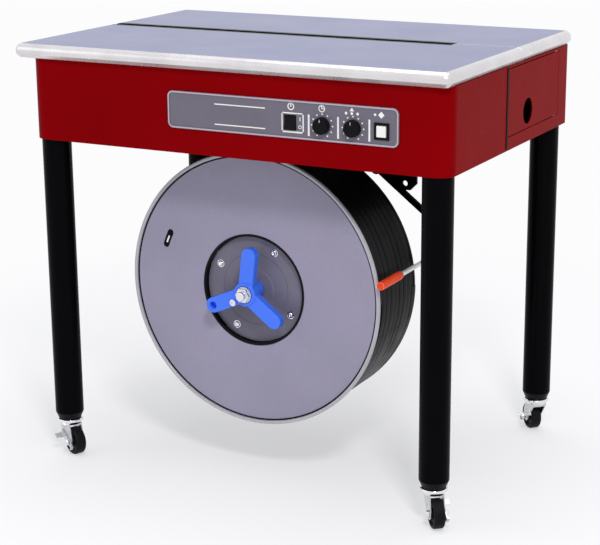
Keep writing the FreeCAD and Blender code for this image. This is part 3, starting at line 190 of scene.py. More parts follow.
@dataclass(frozen=True)
class Finish:
    """A painted, plated, moulded or bare surface with its colour drift, sheen and relief."""

    slot: str
    colour: Colour
    roughness: float
    grain: Grain = Grain.SATIN
    metallic: float = 0.0
    drift: float = 0.12
    drift_scale: float = 9.0
    gloss_drift: float = 0.08
    relief_scale: float = 900.0
    relief: float = 0.00002
    coat: float = 0.0
    specular: float = 0.5
    worn: Colour | None = None
    least_roughness: ClassVar[float] = 0.02
    cloud_span: ClassVar[Flat] = (0.3, 0.7)
    smear_span: ClassVar[Flat] = (0.32, 0.68)
    smear_rate: ClassVar[float] = 3.1
    line_span: ClassVar[Flat] = (0.35, 0.75)
    line_share: ClassVar[float] = 0.55
    line_lift: ClassVar[float] = 1.12
    edge_span: ClassVar[Flat] = (0.515, 0.60)
    scuff_span: ClassVar[Flat] = (0.45, 0.62)
    scuff_share: ClassVar[float] = 0.85
    scuff_scale: ClassVar[float] = 140.0
    diamond_turn: ClassVar[float] = 0.7

    def bands(self, sheet: NodeSheet, place: Socket, turn: float = 0.0, distortion: float = 0.0) -> Socket:
        """Draws even bands, turned about the third direction.

        Args:
            sheet: The material's nodes.
            place: The coordinates that the bands follow.
            turn: How far the bands are turned, in radians.
            distortion: How much they waver.

        Returns:
            The height of the bands, from 0 to 1.
        """
        turned = sheet.add("Mapping", {"Vector": place, "Rotation": (0.0, 0.0, turn)}).outputs["Vector"]
        sockets = {"Vector": turned, "Scale": self.relief_scale, "Distortion": distortion}
        return sheet.add("TexWave", sockets, bands_direction="X").outputs["Fac"]

    def relief_height(self, sheet: NodeSheet, place: Socket) -> Socket:
        """Draws the surface's fine relief.

        Args:
            sheet: The material's nodes.
            place: The coordinates that the relief follows.

        Returns:
            The height of the relief, from 0 to 1.
        """
        if self.grain is Grain.LAMINATED:
            return self.bands(sheet, place, distortion=0.3)
        if self.grain is Grain.EMBOSSED:
            slants = [self.bands(sheet, place, turn) for turn in (self.diamond_turn, -self.diamond_turn)]
            return sheet.combine("MINIMUM", *slants)
        stretches = {Grain.BRUSHED: (0.02, 1.0, 1.0), Grain.GROUND: (1.0, 0.06, 1.0)}
        stretch = stretches.get(self.grain, (1.0, 1.0, 1.0))
        laid = sheet.add("Mapping", {"Vector": place, "Scale": stretch}).outputs["Vector"]
        if self.grain is not Grain.CAST:
            return sheet.noise(laid, self.relief_scale, 2.0)
        skin = sheet.noise(laid, self.relief_scale, 6.0)
        pits = sheet.add("TexVoronoi", {"Vector": laid, "Scale": self.relief_scale * 0.5})
        return sheet.combine("ADD", skin, pits.outputs["Distance"])

    def shade(self, factor: float) -> tuple[float, ...]:
        """Gives the colour, lighter or darker by a factor, in the form that a node takes."""
        return (*(min(1.0, value * factor) for value in self.colour), 1.0)

    def tint(self, sheet: NodeSheet, place: Socket, height: Socket) -> Socket:
        """Mixes the surface's colour with its drift, its brush lines and its worn edges.

        Args:
            sheet: The material's nodes.
            place: The coordinates that the colour follows.
            height: The height of the relief.

        Returns:
            The mixed colour.
        """
        share = sheet.spread(sheet.noise(place, self.drift_scale, 4.0), self.cloud_span)
        colour = sheet.blend(share, self.shade(1.0), self.shade(1.0 - self.drift))
        if self.grain in (Grain.BRUSHED, Grain.GROUND):
            lines = sheet.spread(height, self.line_span, (0.0, self.line_share))
            colour = sheet.blend(lines, colour, self.shade(self.line_lift))
        if self.worn is not None:
            edge = sheet.spread(sheet.add("NewGeometry").outputs["Pointiness"], self.edge_span)
            scuffs = sheet.noise(place, self.scuff_scale, 5.0)
            patches = sheet.spread(scuffs, self.scuff_span, (0.0, self.scuff_share))
            colour = sheet.blend(sheet.combine("MULTIPLY", edge, patches), colour, (*self.worn, 1.0))
        return colour

    def material(self) -> bpy.types.Material:
        """Makes the finish's material.

        Returns:
            The material, ready to lay on a mesh.
        """
        made = bpy.data.materials.new(self.slot)
        sheet = NodeSheet.clear(made)
        places = sheet.add("TexCoord").outputs
        place = places["Object"]
        height = self.relief_height(sheet, places["UV"] if self.grain is Grain.EMBOSSED else place)
        smears = sheet.noise(place, self.drift_scale * self.smear_rate, 5.0, 0.6)
        low = max(self.least_roughness, self.roughness - self.gloss_drift)
        sheen = sheet.spread(smears, self.smear_span, (low, self.roughness + self.gloss_drift))
        bump = sheet.add("Bump", {"Height": height, "Strength": 1.0, "Distance": self.relief})
        shader = sheet.add("BsdfPrincipled", {
            "Base Color": self.tint(sheet, place, height), "Roughness": sheen, "Metallic": self.metallic,
            "Coat Weight": self.coat, "Coat Roughness": 0.12, "Specular IOR Level": self.specular,
            "Normal": bump.outputs["Normal"]})
        sheet.add("OutputMaterial", {"Surface": shader.outputs["BSDF"]})
        return made


FINISHES: tuple[Finish, ...] = (
    Finish("red_paint", (0.238, 0.0003, 0.002), 0.30, Grain.PEEL, drift=0.18, drift_scale=3.0,
           relief_scale=420.0, relief=0.00003, specular=0.012, gloss_drift=0.06),
    Finish("black_paint", (0.0014, 0.0014, 0.002), 0.26, Grain.PEEL, relief_scale=480.0, relief=0.00003,
           specular=0.03, gloss_drift=0.05),
    Finish("satin_black", (0.009, 0.009, 0.011), 0.36, Grain.PEEL, drift=0.3, drift_scale=14.0,
           relief_scale=420.0, relief=0.00004, specular=0.34),
    # Painted reflection: the blue tint of this steel stands for the studio reflected in the table top, not a
    # colour of the steel itself.
    Finish("stainless", (0.196, 0.218, 0.405), 0.30, Grain.BRUSHED, metallic=1.0, drift_scale=3.0,
           relief_scale=1500.0, relief=0.000005, gloss_drift=0.025),
    # Painted highlight: a paler steel than the table top's, laid on the rims so that they read bright.
    Finish("rim_highlight_steel", (0.72, 0.70, 0.71), 0.28, Grain.BRUSHED, metallic=0.8, drift=0.2, drift_scale=14.0,
           relief_scale=1500.0, relief=0.000004, gloss_drift=0.025),
    Finish("rod_plating", (0.86, 0.86, 0.88), 0.42, metallic=0.55, drift_scale=30.0, relief=0.00001),
    Finish("zinc_plate", (0.66, 0.67, 0.70), 0.30, metallic=1.0, drift=0.2, drift_scale=60.0,
           relief_scale=700.0, relief=0.00001),
    Finish("bright_steel", (0.78, 0.78, 0.80), 0.16, Grain.GROUND, metallic=1.0, drift=0.06, relief=0.000004),
    Finish("tool_steel", (0.50, 0.51, 0.53), 0.28, Grain.GROUND, metallic=1.0, relief=0.00001),
    Finish("core_steel", (0.16, 0.15, 0.14), 0.45, Grain.LAMINATED, metallic=0.8, relief_scale=320.0,
           relief=0.0002),
    Finish("cast_grey", (0.20, 0.21, 0.22), 0.52, Grain.CAST, metallic=0.7, relief_scale=380.0,
           relief=0.0002),
    Finish("cast_alloy", (0.52, 0.53, 0.54), 0.45, Grain.CAST, metallic=0.9, relief_scale=420.0,
           relief=0.00015),
    Finish("motor_paint", (0.05, 0.06, 0.075), 0.45, Grain.PEEL, relief=0.00005, worn=(0.2, 0.2, 0.2)),
    Finish("grey_panel", (0.135, 0.122, 0.165), 0.45, drift=0.1, drift_scale=16.0, relief_scale=1600.0,
           relief=0.00001),
    Finish("trim_line", (0.47, 0.39, 0.45), 0.4, drift=0.06, relief=0.00001),
    Finish("reel_grey", (0.33, 0.305, 0.42), 0.28, Grain.PEEL, drift=0.16, drift_scale=4.5,
           relief_scale=330.0, relief=0.00003, specular=0.3, gloss_drift=0.1),
    # Painted highlight: a paler copy of the reel flange's paint, laid on its rolled rim.
    Finish("rim_highlight_grey", (0.46, 0.45, 0.50), 0.24, Grain.PEEL, drift=0.1, drift_scale=12.0, relief_scale=330.0),
    Finish("hub_grey", (0.18, 0.168, 0.225), 0.34, Grain.PEEL, drift=0.25, drift_scale=14.0,
           relief_scale=420.0, relief=0.00003, specular=0.3),
    Finish("strap_plastic", (0.005, 0.005, 0.0062), 0.36, Grain.EMBOSSED, drift=0.2, relief_scale=70.0,
           relief=0.0001, specular=0.05),
    Finish("blue_plastic", (0.048, 0.18, 0.97), 0.28, drift=0.08, relief_scale=650.0, relief=0.00001,
           specular=0.4, coat=0.1),
    Finish("orange_plastic", (0.92, 0.06, 0.004), 0.38, drift=0.15, drift_scale=40.0, specular=0.2),
    Finish("black_plastic", (0.005, 0.005, 0.006), 0.38, relief_scale=1200.0, specular=0.09),
    Finish("knob_plastic", (0.004, 0.004, 0.005), 0.28, relief_scale=1300.0, specular=0.09),
    Finish("button_plastic", (0.84, 0.84, 0.82), 0.28, drift=0.04, relief=0.000005, coat=0.2),
    Finish("board_green", (0.015, 0.12, 0.05), 0.35, drift=0.3, drift_scale=90.0, relief=0.00005),
    Finish("castor_rubber", (0.006, 0.006, 0.007), 0.5, relief=0.00004, specular=0.08),
    Finish("roller_rubber", (0.05, 0.05, 0.05), 0.7, relief=0.0001),
)


def around(turn: float, reach: float, x: float = 0.0, z: float = 0.0) -> Flat:
    """Gives the point at a turn, in radians, and a reach from a centre."""
    return (x + reach * math.cos(turn), z + reach * math.sin(turn))


def beside(turn: float, ahead: float, aside: float) -> Flat:
    """Gives the point that lies ahead along a turn and aside of it."""
    cosine, sine = math.cos(turn), math.sin(turn)
    return (ahead * cosine - aside * sine, ahead * sine + aside * cosine)


def rounded(corners: Iterable[Corner], steps: int = 5) -> list[Flat]:
    """Rounds the corners of a closed outline.

    Args:
        corners: Each corner's two coordinates and its radius.
        steps: How many pieces each rounded corner has.

    Returns:
        The outline's points.
    """
    listed = list(corners)
    points: list[Flat] = []
    for index, (x, y, radius) in enumerate(listed):
        if radius <= 0:
            points.append((x, y))
            continue
        here = Vector((x, y))
        before = (Vector(listed[index - 1][:2]) - here).normalized()
        after = (Vector(listed[(index + 1) % len(listed)][:2]) - here).normalized()
        half = before.angle(after) / 2
        inward = (before + after).normalized()
        middle = here + inward * (radius / math.sin(half))
        first = here + before * (radius / math.tan(half)) - middle
        sweep = first.angle_signed(here + after * (radius / math.tan(half)) - middle)
        for step in range(steps + 1):
            turned = Matrix.Rotation(-sweep * step / steps, 2) @ first
            points.append(tuple(middle + turned))
    return points


def oblong(edges: Bar, radius: float = 0.0, steps: int = 5) -> list[Flat]:
    """Gives the outline between a left, a lower, a right and an upper edge, with rounded corners."""
    left, foot, right, top = edges
    return rounded([(left, foot, radius), (right, foot, radius), (right, top, radius),
                    (left, top, radius)], steps)


def hexagon(radius: float) -> list[Flat]:
    """Gives the corners of a nut's outline."""
    return [around(math.tau * index / 6, radius) for index in range(6)]


def disc(radius: float, low: float, high: float, edge: float) -> list[Flat]:
    """Gives the half profile of a solid disc with rounded rims, from its axis and back to it."""
    return rounded([(0, low, 0), (radius, low, edge), (radius, high, edge), (0, high, 0)])


@dataclass
class Blank:
    """A mesh in the making, in millimetres."""

    mesh: bmesh.types.BMesh = field(default_factory=bmesh.new)

    def ring(self, points: Iterable[Sequence[float]]) -> list[bmesh.types.BMVert]:
        """Adds a row of points."""
        return [self.mesh.verts.new(point) for point in points]

    def skin(self, rings: Sequence[Sequence[bmesh.types.BMVert]], closed: bool = True,
             looped: bool = False) -> list[bmesh.types.BMFace]:
        """Lays faces from each row of points to the next, and over the end rows of an unlooped skin.

        Args:
            rings: The rows, each with as many points as the others.
            closed: Whether a row's last point is joined to its first.
            looped: Whether the last row is joined to the first.

        Returns:
            The faces between the rows, in the rows' order.
        """
        count = len(rings[0])
        followers = [*rings[1:], rings[0]] if looped else rings[1:]
        faces = []
        for here, there in zip(rings, followers):
            for index in range(count if closed else count - 1):
                after = (index + 1) % count
                faces.append(self.mesh.faces.new((here[index], here[after], there[after], there[index])))
        if not looped:
            self.mesh.faces.new(reversed(rings[0]))
            self.mesh.faces.new(rings[-1])
        return faces

    def lathe(self, profile: Sequence[Flat], centre: Spot, axis: Axis = Axis.Y, steps: int = 96) -> Blank:
        """Turns a profile about an axis. One that starts and ends on the axis gives a solid shape.

        Args:
            profile: Radius and distance along the axis of each point.
            centre: Where the axis passes.
            axis: The axis's direction.
            steps: How many facets go round.

        Returns:
            This blank.
        """
        rings = []
        for step in range(steps):
            turn = math.tau * step / steps
            rings.append(self.ring(axis.spot(centre, *around(turn, radius), along)
                                   for radius, along in profile))
        hollow = profile[0][0] > 0 or profile[-1][0] > 0
        self.skin(rings, closed=hollow, looped=True)
        return self

    def plate(self, outline: Sequence[Flat], low: float, high: float, axis: Axis = Axis.Y,
              centre: Spot = (0.0, 0.0, 0.0)) -> Blank:
        """Cuts a plate to an outline.

        Args:
            outline: The outline's points, square to the axis.
            low: Where the plate starts along the axis.
            high: Where it ends.
            axis: The direction of its thickness.
            centre: The outline's origin.

        Returns:
            This blank.
        """
        self.skin([self.ring(axis.spot(centre, a, b, along) for a, b in outline) for along in (low, high)])
        return self

    def block(self, low: Spot, high: Spot, radius: float = 0.0) -> Blank:
        """Adds a block between two corners, with rounded upright edges where a radius is given."""
        return self.plate(oblong((*low[:2], *high[:2]), radius), low[2], high[2], Axis.Z)

    def take(self, mesh: bpy.types.Mesh) -> Blank:
        """Takes over a finished mesh.

        Args:
            mesh: The mesh, in metres.

        Returns:
            This blank.
        """
        self.mesh.from_mesh(mesh)
        bmesh.ops.scale(self.mesh, vec=(1 / MM,) * 3, verts=self.mesh.verts)
        return self

    def copy_of(self, node: str) -> Blank:
        """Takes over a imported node's solid, with its flat faces joined up again.

        Args:
            node: The node's name.

        Returns:
            This blank.
        """
        self.take(bpy.data.objects[node].data)
        bmesh.ops.remove_doubles(self.mesh, verts=self.mesh.verts, dist=WELD)
        bmesh.ops.dissolve_limit(self.mesh, angle_limit=FLAT_FOLD, verts=self.mesh.verts,
                                 edges=self.mesh.edges, delimit={"NORMAL"})
        return self

    def soften(self, width: float, segments: int = 2, sharper_than: float = 32.0) -> Blank:
        """Bevels the sharp edges.

        Args:
            width: The bevel's reach to each side.
            segments: How many facets the bevel has.
            sharper_than: The least fold, in degrees, that counts as an edge.

        Returns:
            This blank.
        """
        bmesh.ops.remove_doubles(self.mesh, verts=self.mesh.verts, dist=WELD)
        bmesh.ops.recalc_face_normals(self.mesh, faces=self.mesh.faces)
        limit = math.radians(sharper_than)
        edges = [edge for edge in self.mesh.edges if edge.is_manifold and edge.calc_face_angle(0.0) > limit]
        bmesh.ops.bevel(self.mesh, geom=edges, offset=width, offset_type="OFFSET", segments=segments,
                        profile=0.5, affect="EDGES", clamp_overlap=True)
        return self

    def score(self, spot: Spot, way: Spot) -> Blank:
        """Parts every face that a plane crosses, without opening the shape.

        Args:
            spot: A point on the plane.
            way: The direction square to it.

        Returns:
            This blank.
        """
        parts = [*self.mesh.verts, *self.mesh.edges, *self.mesh.faces]
        bmesh.ops.bisect_plane(self.mesh, geom=parts, dist=0.001, plane_co=spot, plane_no=way)
        return self

    def move(self, matrix: Matrix) -> Blank:
        """Carries the whole blank by a matrix."""
        bmesh.ops.transform(self.mesh, matrix=matrix, verts=self.mesh.verts)
        return self

    def cut_by(self, tool: Blank) -> Blank:
        """Cuts another blank's shape out of this one.

        Args:
            tool: The shape that is taken away; it is used up, and so is this blank.

        Returns:
            A new blank with what is left.
        """
        base, cutter = (bpy.data.objects.new(label, blank.to_mesh(label))
                        for label, blank in (("stock", self), ("cutter", tool)))
        for item in (base, cutter):
            bpy.context.scene.collection.objects.link(item)
        step = base.modifiers.new("Cut", "BOOLEAN")
        step.operation, step.solver, step.object = "DIFFERENCE", "EXACT", cutter
        bpy.context.view_layer.update()
        cut = bpy.data.meshes.new_from_object(base.evaluated_get(bpy.context.evaluated_depsgraph_get()))
        left = Blank().take(cut)
        for item in (base, cutter):
            bpy.data.objects.remove(item)
        return left

    def to_mesh(self, name: str) -> bpy.types.Mesh:
        """Closes the blank up and turns it into a mesh in metres.

        Args:
            name: The mesh's name.

        Returns:
            The mesh.
        """
        bmesh.ops.remove_doubles(self.mesh, verts=self.mesh.verts, dist=FINE_WELD)
        bmesh.ops.recalc_face_normals(self.mesh, faces=self.mesh.faces)
        bmesh.ops.scale(self.mesh, vec=(MM,) * 3, verts=self.mesh.verts)
        made = bpy.data.meshes.new(name)
        self.mesh.to_mesh(made)
        self.mesh.free()
        made.shade_smooth()
        made.set_sharp_from_angle(angle=SMOOTH_FOLD)
        return made


@dataclass
class Workshop:
    """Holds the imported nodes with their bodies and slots, and puts finished pieces on the machine."""

    nodes: dict[str, bpy.types.Object]
    owners: dict[str, str]
    slots: dict[str, str]
    finishes: dict[str, bpy.types.Material]

    @staticmethod
    def open(frame: dict) -> Workshop:
        """Mixes the finishes and notes which body and which material slot each node belongs to.


        Returns:
            The workshop.
        """
        nodes = frame["nodes"]
        groups = frame["record"]["behaviour"]["bodies"]
        owners = {node: body for body, members in groups.items() for node in members}
        slots = {node: item.data.materials[0].name.split(".")[0] for node, item in nodes.items()}
        return Workshop(nodes, owners, slots, {finish.slot: finish.material() for finish in FINISHES})

    def dress_nodes(self) -> None:
        """Lays the finish of its slot on every node."""
        for node, item in self.nodes.items():
            item.data.materials[0] = self.finishes[self.slots[node]]
            LOG.info("%s keeps its shape in %s", node, self.slots[node])

    def fit(self, blank: Blank, name: str, body: str, slot: str, replaces: Sequence[str] = (),
            finish: str | None = None) -> bpy.types.Object:
        """Puts a finished blank on the machine.

        Args:
            blank: The shape; it is used up.
            name: The piece's name.
            body: The body that the piece rides on.
            slot: The record's material slot that it belongs to.
            replaces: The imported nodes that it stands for.
            finish: The finish, where it isn't the slot's own.

        Returns:
            The new piece.
        """
        piece = bpy.data.objects.new(name, blank.to_mesh(name))
        bpy.context.scene.collection.objects.link(piece)
        piece.data.materials.append(self.finishes[finish or slot])
        lay = piece.modifiers.new("EvenNormals", "WEIGHTED_NORMAL")
        lay.keep_sharp = True
        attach(piece, body)
        if replaces:
            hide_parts(*replaces)
        LOG.info("%s rides on %s in %s", name, body, slot)
        return piece

    def stand_in(self, node: str, blank: Blank, finish: str | None = None) -> bpy.types.Object:
        """Puts a worked-over copy of a node in the node's place."""
        return self.fit(blank, f"{node}_rounded", self.owners[node], self.slots[node], (node,), finish)

    def round_off(self, width: float, *nodes: str, segments: int = 2, finish: str | None = None) -> None:
        """Replaces nodes by the same shapes with their edges broken.

        Args:
            width: How far the edges are broken.
            *nodes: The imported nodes.
            segments: How many facets the broken edge has.
            finish: The finish, where it isn't the slot's own.
        """
        for node in nodes:
            self.stand_in(node, Blank().copy_of(node).soften(width, segments), finish)

    def redress(self, piece: bpy.types.Object, finish: str, test: FaceTest) -> None:
        """Gives some of a piece's faces another finish.

        Args:
            piece: The piece.
            finish: The finish that those faces take.
            test: Picks the faces by their middle, in millimetres, and their direction.
        """
        piece.data.materials.append(self.finishes[finish])
        index = len(piece.data.materials) - 1
        for face in piece.data.polygons:
            if test(face.center / MM, face.normal):
                face.material_index = index


@dataclass
class Bodywork:
    """The cabinet, the table, the legs and their hinges."""

    shop: Workshop
    sheet_edge: float = 0.45
    table_edge: float = 0.35
    hinge_edge: float = 0.3
    tube_edge: float = 0.6
    level: float = 0.985
    slot_front: float = 13.0
    slot_back: float = 32.0
    slot_end: float = 284.5
    # Width of the band of painted shade along each side of the strap slot.
    slot_shade_band: float = 8.0
    bracket_depth: Flat = (10.0, 60.0)
    bracket_corner: tuple[Flat, ...] = (
        (100.0, 480.0), (189.0, 480.0), (183.0, 499.0), (164.0, 513.5), (154.0, 521.0), (100.0, 521.0))
    cabinet_foot: float = 585.0
    bolt_radius: float = 5.0
    bolt_head: float = 2.6
    bolt_edge: float = 0.4
    washer: float = 1.0
    washer_radius: float = 5.75
    bolts: tuple[Spot, ...] = ((-26.0, 24.0, 6.0), (30.0, 24.0, 6.0), (140.0, 34.0, 5.0), (204.0, 34.0, 5.0))
    # Painted shadow: a black strip along the door's front seam, wider than the gap itself.
    gasket: Bar = (-28.0, 588.0, -21.0, 723.0)
    seam_shadow_radius: float = 1.5
    seam_shadow_rise: float = 1.2

    def build(self) -> None:
        """Breaks the edges of the sheet metal and adds the bolts under the cabinet and a black strip beside
        the door, painted shadow of its front seam.
        """
        self.shop.round_off(self.sheet_edge, "cabinet_shell", "side_door", "base_plate", "brake_arm")
        corner = Blank().plate(self.bracket_corner, *self.bracket_depth)
        bracket = Blank().copy_of("arm_bracket").cut_by(corner)
        self.shop.stand_in("arm_bracket", bracket.soften(self.sheet_edge))
        self.shop.round_off(self.sheet_edge, "reel_hanger", finish="satin_black")
        self.build_table()
        # Painted shade: the stiffeners that wall the strap slot are painted black so that the slot reads
        # dark.
        self.shop.round_off(self.hinge_edge, "plate_stiffeners", finish="black_paint")
        self.shop.round_off(self.hinge_edge, "slot_rails", "hinge_leaves", "lid_leaves", "door_pivots")
        self.shop.round_off(self.hinge_edge, "cross_rod", finish="rod_plating")
        self.shop.round_off(self.tube_edge, "legs", "castor_sockets")
        self.build_bolts()
        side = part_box("side_door")[1][0] / MM
        strip = Blank().plate(oblong(self.gasket, self.seam_shadow_radius), side, side + self.seam_shadow_rise, Axis.X)
        self.shop.fit(strip.soften(0.4), "door_seam_shadow", "frame", "black_plastic", finish="black_paint")

    def build_table(self) -> None:
        """Rounds the table's two plates, scored where the band of painted shade beside the strap slot ends.
        """
        for node, side in (("front_table_plate", self.slot_front - self.slot_shade_band),
                           ("rear_table_plate", self.slot_back + self.slot_shade_band)):
            blank = Blank().copy_of(node).soften(self.table_edge)
            blank.score((0.0, side, 0.0), (0.0, 1.0, 0.0)).score((self.slot_end, 0.0, 0.0), (1.0, 0.0, 0.0))
            plate = self.shop.stand_in(node, blank)
            # Painted highlight: the faces that don't face up, the rim above all, take the paler steel instead
            # of the top's.
            self.shop.redress(plate, "rim_highlight_steel", lambda middle, way: way.z < self.level)
            # Painted shade: the slot's walls and a band of the top beside it are painted black so that the
            # slot reads dark.
            self.shop.redress(plate, "black_paint", self.takes_slot_shade)

    def takes_slot_shade(self, middle: Vector, way: Vector) -> bool:
        """Tells whether a face of the table lines the strap slot or lies in the band beside it; both are
        painted black as the slot's shade.

        Args:
            middle: The face's middle, in millimetres.
            way: The direction that it faces.

        Returns:
            Whether the face is blackened.
        """
        inside = self.slot_front < middle.y < self.slot_back
        shaded_band = self.slot_front - self.slot_shade_band < middle.y < self.slot_back + self.slot_shade_band and way.z > 0.5
        return middle.x < self.slot_end and (inside or shaded_band)

    def build_bolts(self) -> None:
        """Adds the bolts, with their washers, that hold the reel's hanger and the brake arm's bracket."""
        for index, (x, y, flange) in enumerate(self.bolts):
            face = self.cabinet_foot - flange
            seat, centre = face - self.washer, (x, y, 0.0)
            bolt = Blank().plate(hexagon(self.bolt_radius), seat - self.bolt_head, seat, Axis.Z, centre)
            bolt.soften(self.bolt_edge).lathe(disc(self.washer_radius, seat, face, 0.3), centre, Axis.Z, 32)
            self.shop.fit(bolt, f"mounting_bolt_{index + 1}", "frame", "zinc_plate")


@dataclass
class Castors:
    """The four swivel castors: ball race, fork, wheel, brake lever and axle nuts."""

    shop: Workshop
    trail: float = 16.0
    axle_rise: float = 25.0
    cheek: float = 13.0
    lever_room: float = 2.6
    fork_edge: float = 0.5
    lever_edge: float = 0.35
    nut_radius: float = 6.4
    nut_height: float = 3.3
    dome_foot: float = 3.0
    dome: tuple[Flat, ...] = ((0.0, 0.0), (4.6, 0.0), (4.2, 1.3), (2.4, 2.2), (0.0, 2.5))
    corners: tuple[tuple[str, float, float, float, int], ...] = (
        ("front_left", -352.0, -237.0, -25.0, -1),
        ("front_right", 370.0, -237.0, -50.0, 1),
        ("rear_right", 370.0, 243.0, 134.0, 1),
        ("rear_left", -352.0, 243.0, 200.0, -1),
    )
    race: tuple[Corner, ...] = (
        (6.3, 65.9, 0.3), (22.6, 65.9, 1.6), (23.6, 61.8, 1.4), (21.4, 58.8, 1.2), (19.0, 55.6, 1.0),
        (6.3, 55.6, 0.3))
    half_wheel: tuple[Corner, ...] = (
        (4.05, -10.0, 0.3), (8.2, -10.0, 0.8), (9.4, -6.4, 0.8), (17.6, -6.4, 0.8), (18.6, -8.6, 0.5),
        (20.4, -9.6, 0.6), (25.0, -8.4, 3.4))

    @property
    def axle(self) -> Spot:
        """The middle of the axle, seen from the swivel."""
        return (self.trail, 0.0, self.axle_rise)

    def build(self) -> None:
        """Builds each castor as it stands."""
        for name, x, y, heading, side in self.corners:
            swivel = Matrix.Translation((x, y, 0.0)) @ Matrix.Rotation(math.radians(heading), 4, "Z")
            self.build_race(name, swivel)
            self.build_wheel(name, swivel)
            self.build_nuts(name, swivel, side)
            self.shop.round_off(self.fork_edge, f"castor_fork_{name}")
            self.shop.round_off(self.lever_edge, f"castor_brake_{name}")

    def build_race(self, name: str, swivel: Matrix) -> None:
        """Adds the pressed ball race on top of a fork."""
        race = Blank().lathe(rounded(self.race), (0.0, 0.0, 0.0), Axis.Z, 64)
        self.shop.fit(race.move(swivel), f"castor_race_{name}", f"castor_{name}", "bright_steel")

    def build_wheel(self, name: str, swivel: Matrix) -> None:
        """Adds a turned wheel in place of its plain ring: bush, hub, dished web and rounded tyre.

        Args:
            name: Which castor it is.
            swivel: Where the castor stands, and how it is turned.
        """
        other_half = [(radius, -along, edge) for radius, along, edge in reversed(self.half_wheel)]
        wheel = Blank().lathe(rounded([*self.half_wheel, *other_half]), self.axle, steps=72).move(swivel)
        self.shop.fit(wheel, f"castor_tyre_{name}", f"wheel_{name}", "castor_rubber",
                      (f"castor_wheel_{name}",))

    def build_nuts(self, name: str, swivel: Matrix, side: int) -> None:
        """Adds the domed nuts at the axle's ends.

        Args:
            name: Which castor it is.
            swivel: Where the castor stands, and how it is turned.
            side: The axle's end, -1 or 1, at which the brake lever lies under the nut.
        """
        nuts = Blank()
        seats = {end: self.cheek + (self.lever_room if end == side else 0.0) for end in (-1, 1)}
        for end, seat in seats.items():
            low, high = sorted((seat * end, (seat + self.nut_height) * end))
            nuts.plate(hexagon(self.nut_radius), low, high, Axis.Y, self.axle)
        nuts.soften(0.5)
        for end, seat in seats.items():
            dome = [(radius, (seat + self.dome_foot + rise) * end) for radius, rise in self.dome]
            nuts.lathe(dome, self.axle, steps=24)
        self.shop.fit(nuts.move(swivel), f"castor_nuts_{name}", f"castor_{name}", "bright_steel")


